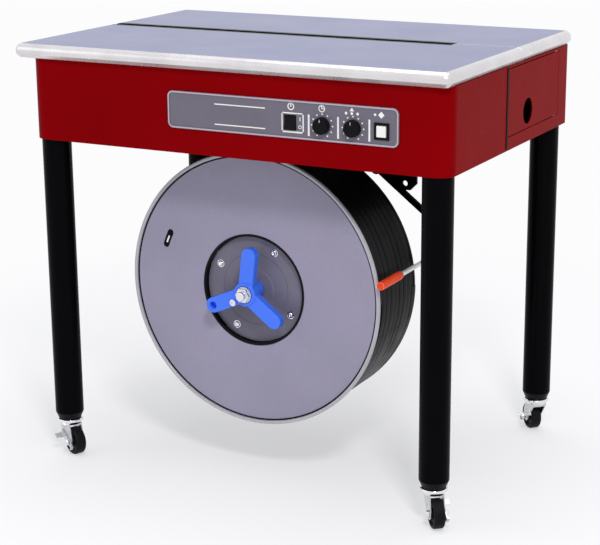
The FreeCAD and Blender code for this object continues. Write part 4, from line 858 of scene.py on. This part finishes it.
@dataclass
class Reel:
    """The strap reel with its coil, hub and three-arm handle."""

    shop: Workshop
    x: float = 2.0
    z: float = 335.5
    round_steps: int = 180
    flange_front: float = -175.0
    flange_back: float = -173.0
    edge: float = 241.0
    rim_width: float = 6.4
    rim_rise: float = 4.5
    # Width of the black ring of painted shade at the foot of the front flange's rim.
    shadow_ring_width: float = 2.6
    bore: float = 96.0
    kidney_radius: float = 185.0
    kidney_turn: float = 156.6
    kidney_half: float = 6.0
    kidney_reach: float = 12.0
    clip: Bar = (-1.7, -7.0, 1.7, 7.0)
    clip_radius: float = 1.6
    rear_front: float = -25.0
    rear_edge: float = 236.0
    rear_sheet: float = 2.0
    bead_rings: tuple[float, ...] = (198.0, 142.0, 84.0)
    bead: tuple[Flat, ...] = ((7.0, 0.0), (4.0, 1.6), (-4.0, 1.6), (-7.0, 0.0))
    shaft_bore: float = 10.1
    hub_radius: float = 94.0
    hub_dish: tuple[Corner, ...] = ((34.0, 0.0, 0.8), (36.0, 0.9, 0.8), (62.0, 0.9, 0.8), (64.0, 0.0, 0.8))
    hub_sheet: float = 3.0
    screw_ring: float = 78.0
    screw_turn: float = -29.0
    screw: tuple[Flat, ...] = (
        (0.0, -1.2), (1.9, -1.2), (2.3, -3.0), (3.6, -3.3), (4.9, -2.4), (5.6, -0.6), (6.8, -0.5), (6.8, 0.0),
        (0.0, 0.0))
    coil_radius: float = 234.6
    coil_steps: int = 144
    strap_width: float = 16.0
    strap_thickness: float = 1.2
    strap_bow: float = 0.25
    strap_crown: float = 0.05
    strap_pitch: float = 16.9
    strap_turns: int = 8
    strap_start: float = -163.6
    strap_wander: float = 0.35
    strap_lift: float = 0.12
    core: tuple[Corner, ...] = (
        (99.3, -172.7, 0.6), (234.3, -172.7, 0.8), (234.3, -25.3, 0.8), (99.3, -25.3, 0.6))
    core_stretch: float = 4.0
    arm_turn: float = 203.3
    arm_half: float = 13.5
    arm_reach: float = 82.0
    arm_depth: Flat = (-206.0, -191.0)
    pin_hole: tuple[Flat, ...] = ((0.0, -195.0), (6.5, -195.0), (6.5, -205.4), (7.6, -206.6), (0.0, -206.6))
    neck_bore: float = 8.1
    neck_radius: float = 17.0
    boss: tuple[Corner, ...] = (
        (17.0, -191.4, 0.5), (21.0, -193.0, 0.5), (21.0, -208.0, 2.4), (15.4, -208.0, 0.6),
        (14.6, -206.6, 0.4))
    set_screw_turn: float = 217.3
    set_screw_ring: float = 28.4
    set_screw: tuple[Flat, ...] = (
        (0.0, -206.9), (2.3, -206.9), (2.5, -208.3), (3.1, -208.9), (5.0, -208.9), (5.8, -208.3),
        (6.0, -205.8), (0.0, -205.8))
    shaft_nose: tuple[Flat, ...] = (
        (0.0, -221.2), (2.2, -222.6), (6.6, -223.0), (7.6, -222.4), (8.3, -221.0), (8.3, -216.4),
        (0.0, -216.4))
    washer: tuple[Corner, ...] = (
        (8.2, -208.9, 0.2), (14.2, -208.9, 0.3), (14.2, -208.05, 0.2), (8.2, -208.05, 0.2))

    @property
    def centre(self) -> Spot:
        """Where the reel's axis passes."""
        return (self.x, 0.0, self.z)

    def spot(self, turn: float, reach: float) -> Spot:
        """Gives the place at a turn, in degrees, and a reach from the reel's axis."""
        x, z = around(math.radians(turn), reach, self.x, self.z)
        return (x, 0.0, z)

    def build(self) -> None:
        """Builds the reel from its flanges to its handle."""
        self.build_front_flange()
        self.build_rear_flange()
        self.build_hub()
        self.build_winding()
        self.build_core()
        self.build_handle()
        self.build_shaft_end()
        self.shop.round_off(0.4, "reel_spacers")

    def kidney(self) -> list[Flat]:
        """Gives the outline of the slot that takes the strap's end.

        Returns:
            The outline's points, about the reel's axis.
        """
        radius, half = self.kidney_radius, self.kidney_half
        middle, swing = math.radians(self.kidney_turn), self.kidney_reach / radius
        points: list[Flat] = []
        for sign in (1, -1):
            points += [around(middle + swing * sign * (step / 3 - 1), radius + half * sign)
                       for step in range(7)]
            for step in range(1, 8):
                out, along = around(math.pi * step / 8, half * sign)
                points.append(beside(middle + swing * sign, radius + out, along))
        return points

    def build_front_flange(self) -> None:
        """Turns the front flange with its slot, its rolled rim, a black ring at the rim's foot that paints
        the shade inside the rim, and the strap's clip.
        """
        front, back, edge = self.flange_front, self.flange_back, self.edge
        foot, lip = edge - self.rim_width, front - self.rim_rise
        section = rounded([(self.bore, front, 0.5), (foot - 0.4, front, 0.3), (foot - 0.4, back, 0.3),
                           (self.bore, back, 0.5)], 4)
        slot = Blank().plate(self.kidney(), front - 9.0, back + 9.0, Axis.Y, self.centre)
        flange = Blank().lathe(section, self.centre, steps=self.round_steps).cut_by(slot)
        self.shop.fit(flange, "front_flange_turned", "reel", "reel_grey", ("reel_front_flange",))
        # Painted highlight: the rolled rim takes a paler grey than the flange.
        rim = rounded([(foot, front + 0.6, 0.3), (foot + 0.6, lip, 2.2), (edge, lip, 2.6), (edge, back, 1.6),
                       (foot, back, 0.4)], 7)
        self.shop.fit(Blank().lathe(rim, self.centre, steps=self.round_steps), "front_flange_rim", "reel",
                      "reel_grey", ("reel_front_flange",), "rim_highlight_grey")
        # Painted shade: a thin black ring at the foot of the rim stands for the shade inside the raised lip.
        inner = foot - self.shadow_ring_width
        shadow_ring = rounded([(inner, front + 0.3, 0.1), (inner, front - 0.7, 0.5), (foot + 0.3, front - 0.9, 0.5),
                        (foot + 0.3, front + 0.3, 0.1)], 3)
        self.shop.fit(Blank().lathe(shadow_ring, self.centre, steps=self.round_steps), "front_flange_shadow_ring", "reel",
                      "black_plastic")
        clip = Blank().plate(oblong(self.clip, self.clip_radius, 4), front + 0.6, front + 2.2).soften(0.4)
        turned = Matrix.Translation(self.centre) @ Matrix.Rotation(-math.radians(self.kidney_turn), 4, "Y")
        clip.move(turned @ Matrix.Translation((self.kidney_radius, 0.0, 2.0)))
        self.shop.fit(clip, "strap_end_clip", "reel", "bright_steel")

    def build_rear_flange(self) -> None:
        """Turns the rear flange with its pressed beads and folded rim."""
        low, high, edge = self.rear_front, self.rear_front + self.rear_sheet, self.rear_edge
        beads = [(ring + step, high + rise, 1.5) for ring in self.bead_rings for step, rise in self.bead]
        section = rounded([(self.shaft_bore, low, 0.3), (edge - 1.0, low, 0.9), (edge, high, 0.9),
                           (edge - 1.2, high + 2.4, 1.0), (edge - 5.0, high, 1.0), *beads,
                           (self.shaft_bore, high, 0.3)], 4)
        self.shop.fit(Blank().lathe(section, self.centre, steps=self.round_steps), "rear_flange_turned",
                      "reel", "black_paint", ("reel_rear_flange",), "satin_black")

    def build_hub(self) -> None:
        """Turns the hub plate, sets its four screws and lays a black ring round it, painted shade of the
        recess round the plate.
        """
        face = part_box("hub_plate")[0][1] / MM
        back = face + self.hub_sheet
        dish = [(radius, face + along, edge) for radius, along, edge in self.hub_dish]
        section = rounded([(self.shaft_bore, face, 0.3), *dish, (self.hub_radius, face, 0.9),
                           (self.hub_radius, back, 0.4), (self.shaft_bore, back, 0.3)], 4)
        self.shop.fit(Blank().lathe(section, self.centre, steps=128), "hub_plate_turned", "reel", "hub_grey",
                      ("hub_plate",))
        screws = Blank()
        for step in range(4):
            screws.lathe([(radius, face + along) for radius, along in self.screw],
                         self.spot(self.screw_turn + 90.0 * step, self.screw_ring), steps=28)
        self.shop.fit(screws, "hub_screws", "reel", "bright_steel")
        # Painted shade: a black ring over the gap between the plate and the flange's bore stands for the
        # shade in the recess.
        front, foot = self.flange_front, face - 0.3
        ring = rounded([(94.5, foot, 0.3), (94.5, front - 1.0, 0.6), (98.8, front - 1.0, 0.5),
                        (98.8, front - 0.05, 0.1), (95.85, front - 0.05, 0.1), (95.85, foot, 0.3)], 3)
        self.shop.fit(Blank().lathe(ring, self.centre, steps=144), "hub_shadow_ring", "reel", "black_plastic")

    def build_winding(self) -> None:
        """Winds the outer layer of strap round the coil, one turn beside the next."""
        blank = Blank()
        layer = blank.mesh.loops.layers.uv.new("UVMap")
        half, thick, bow = self.strap_width / 2, self.strap_thickness, self.strap_bow
        section = [(-half, 0.0), (half, 0.0), (half, thick - bow), (half - bow * 2, thick),
                   (0.0, thick + self.strap_crown), (bow * 2 - half, thick), (-half, thick - bow)]
        rings = []
        for index in range(self.strap_turns * self.coil_steps + 1):
            turn = math.tau * index / self.coil_steps
            wander = self.strap_wander * math.sin(turn * 0.37 + 1.0)
            shift = self.strap_start + self.strap_pitch * turn / math.tau + wander
            lift = self.strap_lift * math.sin(turn * 1.7)
            points = []
            for along, out in section:
                reach = self.coil_radius + out + (lift if out > 0.0 else 0.0)
                x, z = around(turn, reach, self.x, self.z)
                points.append((x, shift + along, z))
            rings.append(blank.ring(points))
        run = self.coil_radius * MM * math.tau / self.coil_steps
        for number, face in enumerate(blank.skin(rings)):
            index, low = divmod(number, len(section))
            near, far = section[low][0] * MM, section[(low + 1) % len(section)][0] * MM
            start, end = index * run, (index + 1) * run
            for loop, spot in zip(face.loops, ((start, near), (start, far), (end, far), (end, near))):
                loop[layer].uv = spot
        self.shop.fit(blank, "strap_winding_laid", "reel", "strap_plastic", ("strap_winding",))

    def build_core(self) -> None:
        """Turns the ring of strap under the outer layer."""
        core = Blank()
        layer = core.mesh.loops.layers.uv.new("UVMap")
        core.lathe(rounded(self.core), self.centre, steps=self.coil_steps)
        for face in core.mesh.faces:
            for loop in face.loops:
                offset = loop.vert.co - Vector(self.centre)
                loop[layer].uv = (math.hypot(offset.x, offset.z) * MM * self.core_stretch, offset.y * MM)
        self.shop.fit(core, "strap_core_wound", "reel", "strap_plastic", ("strap_core",))

    def build_handle(self) -> None:
        """Shapes the three-arm handle: star, hub, neck, the blind hole in one arm's tip and the set screw."""
        inner_reach = self.arm_half / math.sin(math.pi / 3)
        corners = []
        for index in range(3):
            turn = math.radians(self.arm_turn + 120.0 * index)
            for side in (-1, 1):
                corners.append((*beside(turn, self.arm_reach, self.arm_half * side), self.arm_half - 0.05))
            corners.append((*around(turn + math.pi / 3, inner_reach), 11.0))
        star = Blank().plate(rounded(corners, 10), *self.arm_depth, Axis.Y, self.centre).soften(2.6, 4, 50.0)
        tip = self.spot(self.arm_turn, self.arm_reach - self.arm_half)
        drill = Blank().lathe(self.pin_hole, tip, steps=40)
        self.shop.fit(star.cut_by(drill), "handle_star", "handle", "blue_plastic", ("three_arm_handle",))
        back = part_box("three_arm_handle")[1][1] / MM
        neck = [(self.neck_bore, back, 0.3), (self.neck_radius, back, 0.8)]
        hub = rounded([*neck, *self.boss, (self.neck_bore, self.boss[-1][1], 0.3)])
        self.shop.fit(Blank().lathe(hub, self.centre, steps=72), "handle_hub", "handle", "blue_plastic")
        screw = Blank().lathe(self.set_screw, self.spot(self.set_screw_turn, self.set_screw_ring), steps=36)
        self.shop.fit(screw, "handle_set_screw", "handle", "bright_steel")

    def build_shaft_end(self) -> None:
        """Adds the shaft, its centre-drilled nose and the washer under its nut."""
        self.shop.round_off(0.5, "reel_shaft")
        nose = Blank().lathe(self.shaft_nose, self.centre, steps=48)
        self.shop.fit(nose, "shaft_nose_cap", "frame", "bright_steel")
        washer = Blank().lathe(rounded(self.washer), self.centre, steps=56)
        self.shop.fit(washer, "nut_washer", "frame", "zinc_plate")


@dataclass
class BrakeArm:
    """The sleeve on the brake arm's cross rod."""

    shop: Workshop
    rod: Spot = (251.0, 0.0, 378.0)
    bore: float = 4.06
    radius: float = 7.3
    taper: float = 0.6
    collar: float = 5.0
    groove_margin: float = 11.0
    groove_pitch: float = 10.0
    groove_width: float = 2.8
    groove_depth: float = 0.5
    cap_radius: float = 7.0

    def build(self) -> None:
        """Turns the sleeve with its rounded ends and shallow grooves, and caps the rod's front end."""
        front, back = (corner[1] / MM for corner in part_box("arm_sleeve"))
        lip, radius = self.radius - self.taper, self.radius
        outer = [(self.bore, front, 0.3), (lip, front, 1.2), (radius, front + self.collar, 1.0)]
        room = back - front - (self.groove_margin + self.collar)
        for groove in range(int(room / self.groove_pitch)):
            start = front + self.groove_margin + groove * self.groove_pitch
            outer += [(radius, start, 0.5), (radius - self.groove_depth, start + self.groove_width / 2, 0.5),
                      (radius, start + self.groove_width, 0.5)]
        outer += [(radius, back - self.collar, 1.0), (lip, back, 1.2), (self.bore, back, 0.3)]
        sleeve = Blank().lathe(rounded(outer, 3), self.rod, steps=48)
        self.shop.fit(sleeve, "arm_sleeve_turned", "sleeve", "orange_plastic", ("arm_sleeve",))
        end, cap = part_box("cross_rod")[0][1] / MM, self.cap_radius
        dome = [(0.0, end - 1.0), (cap / 2, end - 0.9), (cap - 0.8, end - 0.1), (cap, end + 1.0)]
        seat = [(cap, front - 0.25), (0.0, front - 0.25)]
        self.shop.fit(Blank().lathe([*dome, *seat], self.rod, steps=48), "rod_end_cap", "arm",
                      "orange_plastic")


@dataclass
class Controls:
    """The control panel with its printed marks, knobs, switch and button."""

    shop: Workshop
    face: float = -268.5
    edges: tuple[tuple[str, float, int], ...] = (
        ("control_panel", 0.35, 2), ("button_bezel", 0.7, 3), ("push_button", 1.4, 3),
        ("rocker_switch", 0.6, 2))
    knobs: tuple[tuple[str, str, float], ...] = (
        ("left_knob", "knob_left", 184.6), ("right_knob", "knob_right", 238.5))
    knob_rise: float = 652.0
    knob_radius: float = 14.2
    knob_steps: int = 144
    flutes: int = 24
    flute_depth: float = 0.42
    pointer: Bar = (-0.4, 6.4, 0.4, 10.8)
    print_lift: float = 0.12
    print_depth: float = 0.2
    scale_dots: int = 11
    scale_dot: float = 1.35
    scale_ring: float = 18.4
    bars: tuple[Bar, ...] = (
        (159.2, 633.5, 162.2, 668.0), (210.9, 633.5, 213.9, 668.0), (265.2, 633.5, 268.2, 668.0),
        (112.0, 636.4, 113.8, 668.8), (112.0, 667.0, 151.8, 668.8), (112.0, 636.4, 151.8, 638.8),
        (149.8, 636.4, 151.8, 668.8), (-12.0, 671.4, 82.0, 673.2), (-12.0, 638.2, 82.0, 640.0),
        (128.0, 678.0, 130.0, 685.6), (183.2, 678.5, 184.8, 683.3), (184.0, 678.1, 187.8, 679.7),
        (144.6, 656.0, 146.0, 662.0))
    rings: tuple[Ring, ...] = ((129.0, 678.6, 6.0, 1.7), (184.0, 678.9, 5.8, 1.6), (145.3, 646.6, 2.9, 0.9))
    dots: tuple[Corner, ...] = (
        (226.4, 675.2, 2.3), (236.4, 675.2, 2.3), (246.4, 675.2, 2.3), (276.4, 676.4, 2.1))
    wedges: tuple[tuple[Flat, ...], ...] = (
        ((232.4, 678.6), (240.4, 678.6), (236.4, 684.6)),
        ((281.6, 676.4), (287.0, 671.0), (292.4, 676.4), (287.0, 681.8)))
    trim_lines: tuple[Flat, ...] = ((0.7, 9.3), (3.0, 7.0))

    def build(self) -> None:
        """Builds the panel's pieces."""
        for node, width, segments in self.edges:
            self.shop.round_off(width, node, segments=segments)
        for node, body, x in self.knobs:
            self.build_knob(node, body, x)
        self.build_print()
        self.build_trim()

    def build_knob(self, node: str, body: str, x: float) -> None:
        """Moulds a fluted knob with a pointer line.

        Args:
            node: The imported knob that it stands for.
            body: The body that it rides on.
            x: Where its axis passes.
        """
        back, front = self.face - 0.3, self.face - 10.5
        levels = ((back, 0.4), (back - 0.8, 0.0), (front + 1.6, 0.9), (front + 0.4, 1.6), (front, 2.9))
        knob = Blank()
        rings = []
        for along, inset in levels:
            points = []
            for step in range(self.knob_steps):
                turn = math.tau * step / self.knob_steps
                flute = self.flute_depth * max(0.0, math.cos(turn * self.flutes)) ** 2
                reach = self.knob_radius - inset - (flute if inset < 1.5 else 0.0)
                across, up = around(turn, reach, x, self.knob_rise)
                points.append((across, along, up))
            rings.append(knob.ring(points))
        knob.skin(rings)
        centre = (x, 0.0, self.knob_rise)
        knob.lathe(disc(3.0, back, back + 12.0, 0.4), centre, steps=32)
        self.shop.fit(knob, f"{node}_fluted", body, "knob_plastic", (node,))
        low, high = front - self.print_lift, front + self.print_depth
        line = Blank().plate(oblong(self.pointer), low, high, Axis.Y, centre)
        self.shop.fit(line, f"{node}_pointer", body, "button_plastic")

    def build_print(self) -> None:
        """Prints the dividers, trim lines, scale dots and plain marks on the panel."""
        low, high = self.face - self.print_lift, self.face + self.print_depth
        marks = Blank()
        for bar in self.bars:
            marks.plate(oblong(bar), low, high)
        for x, z, radius, width in self.rings:
            inner = radius - width
            marks.lathe([(inner, low), (radius, low), (radius, high), (inner, high)], (x, 0.0, z), steps=36)
        turns = [math.radians(240.0 - 30.0 * step) for step in range(self.scale_dots)]
        scale = [(*around(turn, self.scale_ring, x, self.knob_rise), self.scale_dot)
                 for _, _, x in self.knobs for turn in turns]
        for x, z, radius in (*scale, *self.dots):
            marks.lathe([(0.0, low), (radius, low), (radius, high), (0.0, high)], (x, 0.0, z), steps=20)
        for wedge in self.wedges:
            marks.plate(wedge, low, high)
        self.shop.fit(marks, "panel_marks", "frame", "button_plastic")

    def build_trim(self) -> None:
        """Lays the pale line round the panel's edge."""
        low, high = (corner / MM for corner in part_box("control_panel"))
        outer, inner = (oblong((low[0] + inset, low[2] + inset, high[0] - inset, high[2] - inset), radius, 8)
                        for inset, radius in self.trim_lines)
        trim = Blank().plate(outer, low[1] - self.print_lift, low[1] + self.print_depth)
        trim = trim.cut_by(Blank().plate(inner, low[1] - 3.0, low[1] + 3.0))
        self.shop.fit(trim, "panel_trim", "frame", "grey_panel", finish="trim_line")


@dataclass
class InnerWorks:
    """The strapping unit and what stands round it inside the cabinet."""

    shop: Workshop
    motor: Spot = (-125.5, 0.0, 640.0)
    fins: int = 36
    fin_radius: float = 42.0
    fin_root: float = 36.5
    fin_span: Flat = (-160.0, -44.0)
    shields: tuple[Flat, ...] = ((-180.0, -158.0), (-46.0, -20.0))
    shield_radius: float = 41.6
    foot: tuple[tuple[float, Flat, Flat], ...] = (
        (30.0, (-155.0, -45.0), (589.0, 596.0)), (20.0, (-150.0, -50.0), (594.0, 612.0)))
    feed: Spot = (132.0, 0.0, 655.0)
    feed_cover: tuple[Corner, ...] = (
        (28.1, 100.0, 0.4), (29.0, 100.0, 0.4), (29.0, 123.0, 2.4), (0.0, 123.0, 0.0), (0.0, 121.0, 0.0),
        (28.1, 121.0, 0.3))
    bolt_radius: float = 3.6
    bolt_span: Flat = (-86.4, -83.6)
    gearbox_bolts: tuple[Flat, ...] = ((-8.0, 601.0), (48.0, 601.0), (-8.0, 678.0), (48.0, 678.0))
    tape: tuple[Spot, Spot] = ((-333.6, 45.4, 600.4), (-272.4, 118.6, 647.6))
    relays: tuple[float, ...] = (120.0, 150.0, 205.0, 262.0)
    relay_low: Flat = (-247.0, 640.0)
    relay_size: Spot = (19.0, 16.0, 16.0)
    capacitors: tuple[float, ...] = (180.0, 240.0, 300.0)
    capacitor_rise: float = 671.0

    def build(self) -> None:
        """Dresses the inner pieces."""
        self.shop.round_off(1.2, "head_casting", "gearbox", segments=3)
        self.shop.round_off(0.5, "left_gripper", "right_gripper", "press_block", "anvil_slide", "transformer")
        self.shop.round_off(0.4, "camshaft", "feed_roller", "pinch_roller", "power_inlet", "control_board",
                            "feed_motor")
        self.build_motor()
        cover = Blank().lathe(rounded(self.feed_cover), self.feed, steps=64)
        self.shop.fit(cover, "feed_motor_cover", "frame", "black_plastic")
        self.build_small_parts()

    def build_motor(self) -> None:
        """Builds the finned main motor with its end shields and foot."""
        count = self.fins * 4
        outline = [around(math.tau * step / count, self.fin_radius if step % 4 < 2 else self.fin_root)
                   for step in range(count)]
        motor = Blank().plate(outline, *self.fin_span, Axis.Y, self.motor)
        for low, high in self.shields:
            motor.lathe(disc(self.shield_radius, low, high, 3.0), self.motor, steps=72)
        x = self.motor[0]
        for half, (front, back), (low, high) in self.foot:
            motor.block((x - half, front, low), (x + half, back, high), 2.0)
        self.shop.fit(motor, "main_motor_finned", "frame", "motor_paint", ("main_motor",))

    def build_small_parts(self) -> None:
        """Adds the gearbox's bolts, the transformer's tape and the board's components."""
        bolts = Blank()
        for y, z in self.gearbox_bolts:
            bolts.plate(hexagon(self.bolt_radius), *self.bolt_span, Axis.X, (0.0, y, z))
        self.shop.fit(bolts.soften(0.4), "gearbox_bolts", "frame", "zinc_plate")
        tape = Blank().block(*self.tape, 3.0).soften(1.0)
        self.shop.fit(tape, "transformer_tape", "frame", "orange_plastic")
        relays = Blank()
        for x in self.relays:
            low = (x, *self.relay_low)
            relays.block(low, tuple(start + size for start, size in zip(low, self.relay_size)), 1.0)
        self.shop.fit(relays.soften(0.6), "board_relays", "frame", "black_plastic")
        capacitors = Blank()
        for x in self.capacitors:
            capacitors.lathe(disc(6.0, -247.0, -227.0, 0.8), (x, 0.0, self.capacitor_rise), steps=36)
        self.shop.fit(capacitors, "board_capacitors", "frame", "cast_alloy")


@dataclass
class Studio:
    """The pale floor, the soft lights and the camera."""

    eye: Spot = (1361.7, -2558.5, 1128.2)
    target: Spot = (0.0, 0.0, 323.1)
    roll: float = -0.485
    lens: float = 99.64
    sensor: float = 36.0
    backdrop: Colour = (0.975, 0.975, 0.985)
    surround: Colour = (0.93, 0.95, 1.0)
    surround_power: float = 0.52
    floor_paint: Colour = (0.93, 0.93, 0.94)
    floor_reach: float = 30.0
    fade_span: Flat = (0.4, 1.6)
    fade_share: Flat = (0.5, 1.0)
    lamps: tuple[tuple[str, Spot, float, float, Colour], ...] = (
        ("key", (1900.0, -2500.0, 3300.0), 650.0, 76.0, (1.0, 0.99, 0.97)),
        ("fill", (-2900.0, -2100.0, 1900.0), 2200.0, 11.0, (0.96, 0.97, 1.0)),
        ("top", (0.0, 300.0, 3600.0), 2600.0, 54.0, (1.0, 1.0, 1.0)),
    )

    def build(self) -> None:
        """Sets up the studio."""
        self.place_camera()
        self.light_world()
        self.place_lamps()
        self.lay_floor()
        bpy.context.scene.view_settings.view_transform = "Standard"

    def aim(self, item: bpy.types.Object, place: Spot) -> Quaternion:
        """Stands a camera or lamp at a place and gives the turn that points it at the machine.

        Args:
            item: The camera or lamp.
            place: Where it stands.

        Returns:
            Its turn.
        """
        bpy.context.scene.collection.objects.link(item)
        item.location = Vector(place) * MM
        item.rotation_mode = "QUATERNION"
        return (Vector(self.target) * MM - item.location).to_track_quat("-Z", "Y")

    def place_camera(self) -> None:
        """Stands the camera where the photograph was taken."""
        data = bpy.data.cameras.new("camera")
        data.lens, data.sensor_width = self.lens, self.sensor
        camera = bpy.data.objects.new("camera", data)
        roll = Quaternion((0.0, 0.0, 1.0), math.radians(self.roll))
        camera.rotation_quaternion = self.aim(camera, self.eye) @ roll
        bpy.context.scene.camera = camera

    def light_world(self) -> None:
        """Gives the even surround, white where the camera and reflections see it."""
        world = bpy.data.worlds.new("studio")
        bpy.context.scene.world = world
        sheet = NodeSheet.clear(world)
        rays = sheet.add("LightPath").outputs
        seen = sheet.combine("MAXIMUM", rays["Is Camera Ray"], rays["Is Glossy Ray"])
        plain = sheet.add("Background", {"Color": (*self.surround, 1.0), "Strength": self.surround_power})
        shown = sheet.add("Background", {"Color": (*self.backdrop, 1.0), "Strength": 1.0})
        mix = sheet.add("MixShader", {0: seen, 1: plain.outputs[0], 2: shown.outputs[0]})
        sheet.add("OutputWorld", {"Surface": mix.outputs[0]})

    def place_lamps(self) -> None:
        """Hangs the soft lamps."""
        for name, spot, width, power, colour in self.lamps:
            data = bpy.data.lights.new(name, "AREA")
            data.shape, data.size, data.energy, data.color = "SQUARE", width * MM, power, colour
            lamp = bpy.data.objects.new(name, data)
            lamp.rotation_quaternion = self.aim(lamp, spot)

    def lay_floor(self) -> None:
        """Lays the pale floor, which fades into the surround away from the machine."""
        reach = self.floor_reach
        mesh = bpy.data.meshes.new("floor")
        corners = [(x, y, 0.0) for x, y in oblong((-reach, -reach, reach, reach))]
        mesh.from_pydata(corners, [], [(0, 1, 2, 3)])
        floor = bpy.data.objects.new("floor", mesh)
        bpy.context.scene.collection.objects.link(floor)
        material = bpy.data.materials.new("floor")
        sheet = NodeSheet.clear(material)
        place = sheet.add("NewGeometry").outputs["Position"]
        away = sheet.add("VectorMath", {0: place}, operation="LENGTH").outputs["Value"]
        fade = sheet.spread(away, self.fade_span, self.fade_share)
        paint = sheet.add("BsdfDiffuse", {"Color": (*self.floor_paint, 1.0)})
        glow = sheet.add("Emission", {"Color": (*self.backdrop, 1.0), "Strength": 1.0})
        mix = sheet.add("MixShader", {0: fade, 1: paint.outputs[0], 2: glow.outputs[0]})
        sheet.add("OutputMaterial", {"Surface": mix.outputs[0]})
        mesh.materials.append(material)


def main() -> None:
    """Builds the studio and dresses the machine."""
    logging.basicConfig(level=logging.INFO, format="%(name)s: %(message)s")
    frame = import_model()
    Studio().build()
    shop = Workshop.open(frame)
    shop.dress_nodes()
    for assembly in (Bodywork, Castors, Reel, BrakeArm, Controls, InnerWorks):
        assembly(shop).build()
        LOG.info("%s done", assembly.__name__)


if __name__ == "__main__":
    main()
